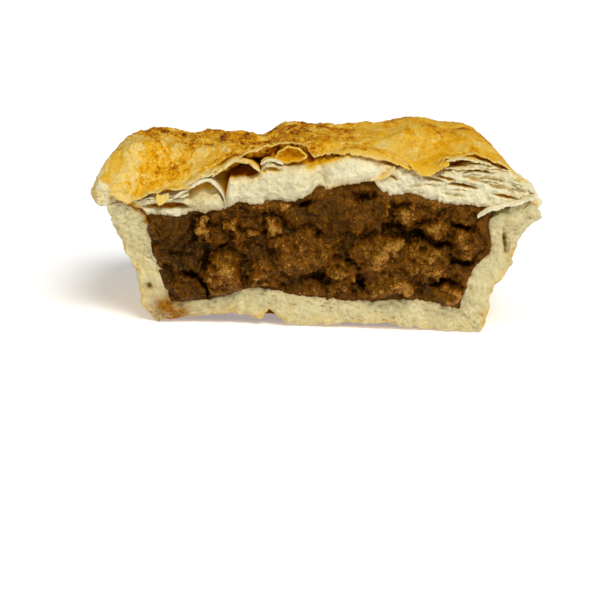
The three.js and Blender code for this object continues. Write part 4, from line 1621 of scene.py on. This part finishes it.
    def parted(self, x: Array, z: Array) -> tuple[Array, Array]:
        """Thin leaves lying one on another, each at its own depth: steps of height over wavy lines.

        Args:
            x: places along the leaves.
            z: heights.

        Returns:
            How far each leaf stands out, and the gaps between leaves, 0 to 1.
        """
        spot = on_cut(x, z)
        climb = 0.17 * np.maximum(x - 18.0, 0.0)
        lie = (z + climb + 0.5 * self.noise(spot, 5.0, 2)) / self.leaf_pitch
        leaf = np.floor(lie)
        from_edge = np.minimum(lie - leaf, 1.0 - lie + leaf)
        depth = self.noise.smooth(on_plan(x, 7.3 * leaf), np.array([7.0, 1.7, 1.0]))
        wide = 0.14 + 0.14 * self.noise.smooth(spot + 33.0, 3.0)
        gap = hump(from_edge / np.maximum(wide, 0.05))
        gap = gap * ease(self.noise.smooth(spot + 70.0, np.array([5.0, 1.0, 1.6])), 0.04, 0.5)
        return 0.55 * depth, gap

    def slitted(self, x: Array, z: Array) -> tuple[Array, Array]:
        """The slits: flat lens pits with uneven edges, the deepest at each place.

        Args:
            x: along the cut.
            z: heights.

        Returns:
            How deep they are, and how brown.
        """
        pits = np.zeros_like(x)
        hue = np.zeros_like(x)
        uneven = 0.16 * self.noise(on_cut(x, z), 1.6, 2)
        for middle, level, half, tall, turn, deep, bake in self.slits:
            along, over = turned(x, z, (middle, level), turn)
            lens = hump((np.hypot(along / half, (over + uneven) / tall) ** 2) / 1.2)
            hue = np.maximum(hue, bake * ease(lens, 0.25, 0.85))
            pits = np.maximum(pits, deep * lens)
        return pits, hue

    def torn_face(self, x: Array, z: Array, low: Array, top: Array) -> tuple[Array, Array, Array]:
        """Relief of the dough's torn face.

        Blocks that stand at their own depth, soft waves of 4 mm, crumbs and parted leaves, less the
        slits.

        Args:
            x: along the cut.
            z: heights.
            low: the dough's lower limit there.
            top: its upper limit.

        Returns:
            How far the face stands in front of the plane of the cut, its painted shade and its bake.
        """
        spot = on_cut(x, z)
        rough = 1.0 - 0.6 * hump((x - 6.5) / 5.5)
        waves = 0.4 * rough * self.noise(spot + 15.0, 4.5, 2)
        crumbs = 0.4 * rough * self.noise(spot, 1.5, 4, 0.7)
        leaves, gaps = self.parted(x, z)
        left = 0.8 * ease(-x, 27.0, 29.0) * (1.0 - ease(-x, 36.0, 39.0))
        upper = ease(z - low, 1.6, 3.2) * np.maximum(ease(x, 17.0, 22.0), left)
        pits, hue = self.slitted(x, z)
        edge = np.minimum(z - low, top - z)
        out = self.proud(x) * (0.6 + 0.4 * ease(edge, 0.0, 2.0)) + waves + crumbs - pits
        out = out + upper * (leaves - 0.5 * gaps) - 0.5 * np.exp(-edge / 0.45)
        # Painted shade in the leaves' gaps and the slits, lighter on crumbs and waves.
        painted_shade = 0.35 * gaps * upper + 0.12 * pits - 0.7 * crumbs - 0.3 * waves
        return out, np.clip(painted_shade, 0.0, 1.0), np.maximum(0.14 * gaps * upper, hue)

    def dough_points(self, unit: Array) -> DoughPoints:
        """Bends a box lattice to the lid's plan, between its seat and the skin or pocket above.

        Args:
            unit: the points' places in the lattice, (..., 3).

        Returns:
            The points before the relief of their sides.
        """
        across, along, through = unit.T
        square = np.maximum(np.abs(across), along)
        ring = 1.0 - (1.0 - square) ** 1.15
        side, y = self.form.plan(across, along, self.form.lid_half_width * ring)
        x = side + self.form.lid_shift
        spot = on_plan(x, y)
        near_cut = np.exp(-y / 2.0)
        ends = ease(x, 33.0, 38.0) - 0.9 * ease(-x, 32.0, 38.0)
        over_filling = 1.0 - ease(np.abs(x), 33.0, 36.0)
        ragged = 0.45 * self.noise(spot + 60.0, 3.6, 3)
        ragged = ragged + 0.28 * self.noise(spot + 25.0, 1.1, 3, 0.7)
        plan_ring = self.form.lid_ring(x, y)
        low = self.form.lid_under(x, y) + ragged * near_cut * over_filling
        low -= (0.5 + ends) * ease(plan_ring, 0.94, 0.99)
        covered = ease(self.cover(x, y) - plan_ring, -0.012, 0.012)
        relief, _ = self.skin_relief(*self.form.unrolled(x, y))
        top = self.form.lid_top(x, y) + relief * covered * (1.0 - near_cut)
        top -= (self.skin_thickness + 0.15 + self.pocket(x, y)) * covered
        top += (0.1 + 0.2 * near_cut) * self.noise(spot, 1.9, 4, 0.6)
        top += (1.0 - covered) * 0.6 * self.noise(spot + 12.0, 4.5, 4, 0.55)
        top = np.maximum(top, low + 0.5)
        z = mix(low, top, through)
        outer = np.where(square == 1.0, 1.0, 0.0)
        return DoughPoints(x, y, z, low, top, through, covered, along == 0.0, outer)

    def dough(self) -> Surface:
        """The dough: a bent box lattice with a torn face in front and flaky, swollen sides.

        The sides swell by half a sine over the height, with parted leaves, lumps of 4.5 mm, plates
        over cells and torn flakes.

        Returns:
            The dough.
        """
        t = np.linspace(0.0, 1.0, self.along)
        q = mix(t, 0.5 - 0.5 * np.cos(np.pi * t), 0.9)
        p = np.linspace(-1.0, 1.0, self.across)
        unit, quads = box_skin(p, q, np.linspace(0.0, 1.0, self.through))
        at = self.dough_points(unit)
        x, y, z = at.x, at.y, at.z
        out, painted_shade, hue = self.torn_face(x, z, at.low, at.top)
        leaves, gaps = self.parted(x + y, z)
        spot = np.stack([x, y, z], -1)
        lumps = self.noise(spot + 5.0, 4.5, 4, 0.55)
        around = np.stack([y - x, z], -1) + 0.8 * np.stack([lumps, -lumps], -1)
        near, second, tone = self.noise.cells(around, 3.2)
        plate = np.where(tone > 0.45, ease(second - near, 0.0, 0.3), 0.0)
        crack = hump((second - near) / 0.16) * ease(tone, 0.3, 0.6)
        torn = self.torn_flakes(spot + 80.0, 4.0, 0.05)
        swell = 0.9 * np.sin(np.pi * at.through) + 0.35 * leaves - 0.25 * gaps - 0.3
        swell = at.outer * (swell + 0.5 * lumps + 0.3 * plate + 0.25 * torn)
        z = z + 0.25 * torn * (1.0 - at.covered) * (at.through == 1.0)
        away = np.stack([x - self.form.lid_shift, y], -1) / self.form.lid_half_width
        behind = y + np.exp(-y / 2.5) + swell * away[:, 1]
        tuck = at.near_cut * (1.0 - ease(z, 27.0, 31.0))
        tuck = tuck * (0.8 * ease(-x, 40.0, 43.0) - 1.3 * ease(x, 40.0, 43.0))
        points = np.stack([x + swell * away[:, 0] + tuck, np.where(at.face, -out, behind), z], -1)
        bake, soak = self.dough_tones(at, points, hue, lumps)
        flaky = 0.1 * crack + 0.12 * gaps * at.outer - 0.04 * plate - 0.12 * torn
        bake = np.clip(bake + (1.0 - at.covered) * flaky, 0.0, 0.9)
        # Painted shade: less on the left end, more on two blocks of the torn face; on the bare sides, in leaf
        # gaps and cracks.
        painted_shade = painted_shade * (1.0 - 0.6 * ease(-x, 27.0, 29.0)) + 0.45 * hump((x + 22.6) / 3.2)
        painted_shade = painted_shade + 0.16 * hump((x + 10.0) / 6.0)
        painted_shade = np.where(at.face, painted_shade, (0.15 * gaps * at.outer + 0.3 * crack) * (1.0 - at.covered))
        return Surface(points, quads, values={"bake": bake, "soak": soak, "painted_shade": painted_shade})

    def dough_tones(self, at: DoughPoints, points: Array, hue: Array, lumps: Array) -> tuple[Array, Array]:
        """Bake and soak of the dough, without its side flakes.

        Brown inside the pockets, under the skin's edge over the bulge and in a drip at the left;
        tan on the bare sides; gravy along the lower edge.

        Args:
            at: the points before the relief of their sides.
            points: the finished points.
            hue: how brown the torn face is.
            lumps: lumps of 4.5 mm.

        Returns:
            Bake and soak.
        """
        x, y, z = at.x, at.y, points[:, 2]
        up, down = at.through * (at.top - at.low), (1.0 - at.through) * (at.top - at.low)
        deep = 0.3 + 0.55 * ease(x, -20.0, -18.0) * (1.0 - ease(x, -10.0, -7.0))
        deep = deep + 0.3 * ease(x, -10.0, -7.0)
        inner = ease(y, 0.9, 2.2) * (at.through == 1.0) * at.covered
        patchy = 1.0 + 0.8 * self.noise(points + 3.0, 1.4, 2)
        burnt = 0.62 * ease(x, -4.0, -1.0) * (1.0 - 0.6 * ease(x, 3.0, 9.0))
        burnt = burnt * (1.0 - ease(x, 9.0, 17.0)) * np.exp(-down / 0.5 - y / 2.0)
        blush = 0.14 + 0.16 * ease(-x, 34.0, 39.0) + 0.26 * ease(y, 2.0, 12.0)
        blush = (1.0 - at.covered) * (blush + 0.2 * self.noise(points, 3.5, 4, 0.6))
        corner = hump((x - 12.4 - 0.9 * (z - 31.6)) / 1.1) * hump((z - 31.4) / 1.6)
        corner = corner + hump((x - 2.2) / 3.4) * np.exp(-up / 0.9)
        hue = hue + 0.2 * corner + 0.12 * hump((x + 12.4) / 0.8) * (z > 30)
        drip = hump((x + 41.0 - 0.72 * (28.0 - z)) / 1.8) * (z < 30.0) * at.near_cut
        bake = 0.12 * np.exp(-down / 0.6) * at.covered + deep * inner + burnt * patchy + blush
        bake = bake + hue * at.face + drip * (0.36 + 0.2 * lumps)
        over_filling = 1.0 - ease(np.abs(x), 33.0, 36.0)
        soak = np.exp(-up / (0.4 + 0.3 * ease(-x, 32.0, 38.0)))
        return bake, soak * (0.65 * over_filling + 0.8 * hump((x + 34.0) / 4.0))

    def torn_flakes(self, spot: Array, size: float, level: float) -> Array:
        """Patches with crisp ragged edges, 1 where a flake lies: a rough noise cut off at a level."""
        uneven = self.noise(spot, np.array([size, 1.3 * size, size]), 5, 0.68)
        return ease(uneven, level, level + 0.1)

    def skin_texture(self, x: Array, y: Array, warp: Array) -> tuple[Array, Array]:
        """The skin's texture all over.

        Swellings of 10 mm, wrinkles, bubbles of 0.5 and 1.5 mm, plates over warped cells with crisp
        steps, torn flakes of two sizes and thin pale veins along the folds of a noise. The right
        half is smoother and less brown.

        Args:
            x: along the cut, on the unrolled lid.
            y: behind it.
            warp: two uneven fields that move the cells about, (..., 2).

        Returns:
            Height in millimetres and bake.
        """
        spot = on_plan(x, y)
        swell = self.noise(spot, 10.0, 2)
        wrinkle = self.noise(spot + 40.0, np.array([3.6, 5.0, 3.0]), 5, 0.64)
        flat = spot[..., :2] * np.array([1.0, 0.6])
        near, second, tone = self.noise.cells(flat + 2.4 * warp, 6.0)
        plate = np.where(tone > 0.55, ease(second - near, 0.0, 0.3), 0.0)
        # rim: a paler line along each plate's edge, a painted highlight.
        rim = np.where(tone > 0.55, hump((second - near - 0.3) / 0.25), 0.0)
        near, second, tone = self.noise.cells(flat + 40.0 + 1.6 * warp, 2.6)
        chip = np.where(tone > 0.62, ease(second - near, 0.0, 0.25), 0.0)
        fold = self.noise(spot + 160.0 + 1.5 * warp[..., [0, 1, 0]], np.array([5.0, 9.0, 5.0]), 3)
        vein = 1.0 - ease(np.abs(fold), 0.0, 0.09)
        small = self.noise.beads(flat + 0.5 * warp, 1.2, 0.6, (0.25, 0.6))
        large = self.noise.beads(flat + 0.9 * warp, 4.0, 0.5, (0.7, 1.8))
        patch = self.noise(spot + 200.0, np.array([7.0, 11.0, 7.0]), 4, 0.6)
        right = ease(x, 2.0, 14.0)
        rough = 1.0 - 0.45 * right
        broad = self.torn_flakes(spot + 300.0, 7.0, 0.16)
        thin = self.torn_flakes(spot + 350.0, 3.2, 0.2)
        pale = np.maximum.reduce([broad, 0.9 * thin, 0.5 * plate, 0.5 * chip, 0.8 * vein])
        steps = 0.3 * wrinkle + 0.2 * plate + 0.12 * chip + 0.24 * broad + 0.14 * thin + 0.08 * vein
        height = 0.45 * swell + rough * steps + 0.14 * small + 0.2 * large
        browned = 0.865 - 0.24 * right + 0.05 * swell + 0.08 * patch + 0.1 * rough * wrinkle
        browned = browned + 0.09 * large + 0.05 * small - 0.06 * rim - mix(0.06, 0.12, rough) * pale
        return height, browned

    def skin_relief(self, x: Array, y: Array) -> tuple[Array, Array]:
        """The skin's own relief: its texture, browner and paler areas, single flakes and a blister.

        A flake is a warped ellipse with a crisp edge that sinks towards its middle.

        Args:
            x: along the cut, on the unrolled lid.
            y: behind it.

        Returns:
            Height in millimetres and bake.
        """
        spot = on_plan(x, y)
        warp = np.stack([self.noise(spot + n, 4.0, 4, 0.62) for n in (90.0, 130.0)], -1)
        height, browned = self.skin_texture(x, y, warp)
        for middle, back, radius, strength in self.spots:
            browned = browned + strength * hump(np.hypot(x - middle, y - back) / radius)
        for middle, back, half, length, turn, step, tint in self.flakes:
            along, over = turned(x, y, (middle, back), turn)
            inside = 1.0 - np.hypot(along / half, over / length) + 0.3 * warp[..., 0]
            raised = ease(inside, 0.0, 0.06)
            height = height + 0.75 * step * raised * (1.0 - 0.7 * ease(inside, 0.1, 0.8))
            browned = browned + tint * raised - 0.08 * hump((inside - 0.04) / 0.05)
        blister = hump(np.hypot(x - 30.5, (y - 22.0) / 1.6) / 1.5)
        darkest = mix(0.76, 0.9, ease(y, 8.0, 24.0))
        return height + 0.7 * blister, np.clip(browned + 0.25 * blister, 0.34, darkest)

    def skin_place(self, p: Array, q: Array, drop: float) -> tuple[Array, Array]:
        """A place of the skin.

        Rings of the half square become rings of the lid's plan, out to a ragged rim that sinks into
        the dough. The front edge follows its own line, ragged by noise along x, and curls a little. Both
        are paler, with a browner band behind the front edge.

        Args:
            p: across the half square, -1 to 1.
            q: along its depth, 0 to 1.
            drop: how far under the skin's top the place lies.

        Returns:
            The points and their bake.
        """
        ring = np.maximum(np.abs(p), q)
        way = 40.0 * (on_plan(p, q) / np.maximum(ring, 1e-6)[..., None])
        limit = self.cover(way[..., 0], way[..., 1]) + 0.02 * self.noise(way, 4.0, 5, 0.66)
        spread = 1.0 - (1.0 - ring) ** 1.2
        side, y = self.form.plan(p, q, self.form.lid_half_width * limit * spread)
        x = side + self.form.lid_shift
        from_rim = (1.0 - spread) * self.form.lid_half_width
        from_edge = y
        line = on_plan(x, 0.0 * x)
        edge = self.skin_edge(x) + 0.65 * self.noise(line + 7.0, 3.0, 5, 0.68)
        y = y + edge * np.exp(-y / (2.0 + np.abs(edge)))
        relief, bake = self.skin_relief(*self.form.unrolled(x, y))
        curl = 0.5 * self.noise(line + 33.0, 4.0, 2) * np.exp(-from_edge / 0.9)
        behind = np.maximum(y, 0.0)
        z = self.form.lid_top(x, behind) - 0.6 * np.maximum(-y, 0.0) + curl
        laid = ease(x, -3.6, -1.4) * (1.0 - ease(x, 21.0, 24.5))
        pressed = (np.maximum(relief, 0.0) + 0.5 + 0.7 * curl) * np.exp(-from_edge / 1.3)
        z = z - laid * (self.pocket(x, behind) + pressed) - self.sag(x) * np.exp(-from_edge / 1.6)
        z = z + relief * (1.0 - 0.5 * np.exp(-from_rim / 2.0)) - 0.4 * np.exp(-from_rim / 0.7)
        bake = mix(bake, 0.22, np.exp(-from_rim / (1.6 + 1.2 * ease(-x, 30.0, 38.0))))
        right = ease(x, -3.0, 2.0)
        band = right * (1.0 - ease(x, 13.0, 18.0)) * hump((from_edge - 3.2) / 1.8)
        fringe = mix(0.4, 1.5, np.maximum(ease(-x, 12.0, 20.0), right))
        bake = mix(bake + 0.16 * band, mix(0.26, 0.3, right), np.exp(-from_edge / fringe))
        return np.stack([x, y, z - drop], -1), bake

    def skin(self) -> Surface:
        """A fine sheet over the lid, closed underneath by rings that keep its thickness.

        Returns:
            The skin; its points' crease is weaker on the right.
        """
        across = np.linspace(-1.0, 1.0, self.skin_across)
        p, q = np.meshgrid(across, np.linspace(0.0, 1.0, self.skin_along) ** 1.2, indexing="ij")
        front, bake = self.skin_place(p, q, 0.0)
        border = border_of(np.arange(p.size).reshape(p.shape))
        rim_p, rim_q = p.ravel()[border], q.ravel()[border]
        rings, bakes = [], [bake.ravel()]
        for inset in self.skin_rings:
            keep = 1.0 - inset
            drop = self.skin_thickness + self.skin_sink * float(ease(np.array(inset), 0.01, 0.16))
            ring, ring_bake = self.skin_place(rim_p * keep, 0.5 + (rim_q - 0.5) * keep, drop)
            rings.append(ring)
            bakes.append(np.full(len(ring), self.under_bake) if inset else ring_bake)
        tip, _ = self.skin_place(np.array([0.0]), np.array([0.5]), self.skin_thickness + self.skin_sink)
        points, quads, triangles = lined_sheet(front, rings, tip[0])
        baked = np.concatenate([*bakes, [self.under_bake]])
        creased = 1.0 - 0.6 * ease(points[:, 0], 0.0, 12.0)
        return Surface(points, quads, triangles, dry(baked) | {"crease": creased})

    def leaf(self, leaf: Leaf, seed: float) -> Surface:
        """A thin wavy sheet: its line along x carried back, thinning to a ragged front edge.

        Args:
            leaf: its sizes.
            seed: which part of the noise it takes.

        Returns:
            The leaf.
        """
        first, last = leaf.line[0][0], leaf.line[-1][0]
        across = np.linspace(0.0, 1.0, max(24, int((last - first) / 0.16)))
        unit, quads = box_skin(across, np.linspace(0.0, 1.0, 14) ** 1.4, np.linspace(0.0, 1.0, 3))
        u, v, w = unit.T
        x = mix(first, last, u)
        ragged = 0.8 * self.noise(on_plan(x, 0.0 * x + seed), 2.0, 4, 0.68)
        ragged = ragged / (1.0 + max(leaf.rise, 0.0))
        taper = dome(2.0 * u - 1.0) ** 0.4
        y = leaf.front + ragged * (1.0 - v) + v * leaf.depth * mix(0.5, 1.0, taper)
        sheet = np.stack([x, y, 0.0 * x + seed], -1)
        wave = 0.25 * self.noise(sheet, 2.6, 3)
        thick = leaf.thickness * (0.6 + 0.4 * ease(v, 0.0, 0.2)) * (0.3 + 0.7 * taper)
        z = Outline(leaf.line)(x) + leaf.rise * (y - leaf.front) + wave + (w - 0.5) * thick
        bake = mix(leaf.bake, leaf.inner, ease(v, 0.1, 0.55))
        bake = bake + 0.1 * self.noise(sheet, 2.5, 2) * (leaf.bake > 0.1)
        return Surface(np.stack([x, y, z], -1), quads, values=dry(bake))

    def leaves(self) -> Surface:
        """All leaves and the opened bubble as one surface."""
        sheets = [self.leaf(leaf, 11.0 * n) for n, leaf in enumerate(self.plan)]
        return Surface.joined(sheets + [self.bubble()])

    def bubble(self) -> Surface:
        """An opened bubble under the skin: a thin bowl with a pale, uneven rim.

        A square grid is drawn out to a disc whose outline swings in and out around it; the disc is
        pressed back as a dome.

        Returns:
            The bowl.
        """
        across, up = np.linspace(-1.0, 1.0, 44), np.linspace(-1.0, 1.0, 32)
        unit, quads = box_skin(across, np.linspace(0.0, 1.0, 4), up)
        u, w, v = unit.T
        across, up = u * np.sqrt(1.0 - v * v / 2.0), v * np.sqrt(1.0 - u * u / 2.0)
        away = np.hypot(across, up)
        turn = np.arctan2(up, across)
        reach = 1.0 + 0.14 * np.cos(2.0 * turn - 0.7) + 0.1 * np.cos(3.0 * turn + 1.0)
        reach = reach + 0.05 * np.cos(7.0 * turn)
        uneven = self.noise(on_cut(3.0 * across, 3.0 * up) + 8.0, 1.6, 4, 0.62)
        x = self.bubble_middle[0] + self.bubble_half[0] * across * reach * (1.0 + 0.12 * w)
        z = self.bubble_middle[1] + self.bubble_half[1] * up * reach * (1.0 + 0.18 * w)
        y = 0.2 + 1.9 * dome(0.98 * away) + 0.35 * w + 0.35 * uneven * away
        rim = np.maximum(ease(away, 0.84, 0.96), ease(w, 0.0, 0.5))
        # The bowl is painted browner towards its top, as painted shade.
        bake = mix(0.66 + 0.12 * up + 0.14 * uneven, 0.32 + 0.1 * uneven, rim)
        return Surface(np.stack([x, y, z], -1), quads, values=dry(bake))

    def dress(self, place: Vector) -> None:
        """Adds the dough to the part, in place of the plain lid, then its leaves and the skin.

        Args:
            place: where the middle of the cut's lower edge lies.
        """
        torn, golden = self.dough_finish.material(), self.skin_finish.material()
        add_piece(self.dough().to_object("lid_dough", place, torn), "lid")
        add_piece(self.leaves().to_object("lid_leaves", place, torn))
        add_piece(self.skin().to_object("lid_skin", place, golden))


@dataclass(frozen=True)
class Studio:
    """A pale floor, soft light and the camera."""

    azimuth: float = -1.5
    elevation: float = 13.0
    roll: float = 2.38
    distance: float = 354.6
    aim: tuple[float, float, float] = (-3.23, 0.0, 5.55)
    focal_px: float = 1770.0
    image_px: float = 600.0
    sensor: float = 36.0
    floor_half: float = 3.0
    floor_gap: float = 0.00005
    lamp_colour: Colour = (1.0, 0.985, 0.955)
    surround: float = 0.2

    def floor(self) -> bpy.types.Object:
        """A wide level sheet just under the part.

        Returns:
            The floor.
        """
        half = self.floor_half
        corners = np.array([[-half, -half, 0], [half, -half, 0], [half, half, 0], [-half, half, 0]])
        sheet = Surface(corners / MM, np.array([[0, 1, 2, 3]]))
        return sheet.to_object("floor", Vector((0, 0, -self.floor_gap)), FloorFinish("pale_floor").material())

    def lamp(self, name: str, toward: tuple[float, float, float], spread: float, strength: float) -> None:
        """A far soft light.

        Args:
            name: the light's name.
            toward: the way its light goes.
            spread: how wide it looks, in degrees; a wider light has softer shadows.
            strength: its strength.
        """
        light = bpy.data.lights.new(name, "SUN")
        light.angle = math.radians(spread)
        light.energy = strength
        light.color = self.lamp_colour
        made = bpy.data.objects.new(name, light)
        made.matrix_world = Vector(toward).to_track_quat("-Z", "Y").to_matrix().to_4x4()
        bpy.context.scene.collection.objects.link(made)

    def light(self) -> None:
        """A key from the upper right, fills from both sides and a pale surround."""
        self.lamp("key", (-0.25, 0.65, -0.9), 30.0, 2.4)
        self.lamp("left", (0.85, 0.5, -0.3), 60.0, 0.3)
        self.lamp("right", (-0.9, 0.5, -0.25), 60.0, 0.3)
        world = bpy.data.worlds.new("surround")
        world.use_nodes = True
        ground = world.node_tree.nodes["Background"]
        ground.inputs["Color"].default_value = (*WHITE, 1.0)
        ground.inputs["Strength"].default_value = self.surround
        bpy.context.scene.world = world
        bpy.context.scene.view_settings.view_transform = "Standard"

    def camera(self, place: Vector) -> None:
        """A long lens, rolled a little, aimed at the lower middle of the cut.

        Args:
            place: where the middle of the cut's lower edge lies.
        """
        turn, climb, roll = (math.radians(a) for a in (self.azimuth, self.elevation, self.roll))
        level = Vector((math.cos(turn), math.sin(turn), 0.0))
        ahead = Vector((-math.sin(turn), math.cos(turn), 0.0))
        back = Vector((0.0, 0.0, math.sin(climb))) - math.cos(climb) * ahead
        above = back.cross(level)
        right = math.cos(roll) * level + math.sin(roll) * above
        top = math.cos(roll) * above - math.sin(roll) * level
        lens = bpy.data.cameras.new("camera")
        lens.sensor_width = self.sensor
        lens.lens = self.focal_px / self.image_px * self.sensor
        lens.clip_start = 0.01
        made = bpy.data.objects.new("camera", lens)
        frame = Matrix((right, top, back)).transposed().to_4x4()
        at = place + (Vector(self.aim) + back * self.distance) * MM
        made.matrix_world = Matrix.Translation(at) @ frame
        bpy.context.scene.collection.objects.link(made)
        bpy.context.scene.camera = made


def cut_place(form: PieForm) -> Vector:
    """Where the middle of the cut's lower edge lies in the model's frame, from the case's box."""
    low, high = (Vector(corner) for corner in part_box("pastry_case"))
    return Vector(((low.x + high.x) / 2, high.y - form.rim_length * MM, low.z))


def main() -> None:
    """Builds the pie's sub-assemblies in order, then the studio."""
    logging.basicConfig(level=logging.INFO, format="%(message)s")
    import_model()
    form = PieForm()
    place = cut_place(form)
    PastryCase(form, Noise(3)).dress(place)
    Filling(form, Noise(5)).dress(place)
    Lid(form, Noise(8)).dress(place)
    studio = Studio()
    studio.floor()
    studio.light()
    studio.camera(place)


if __name__ == "__main__":
    main()
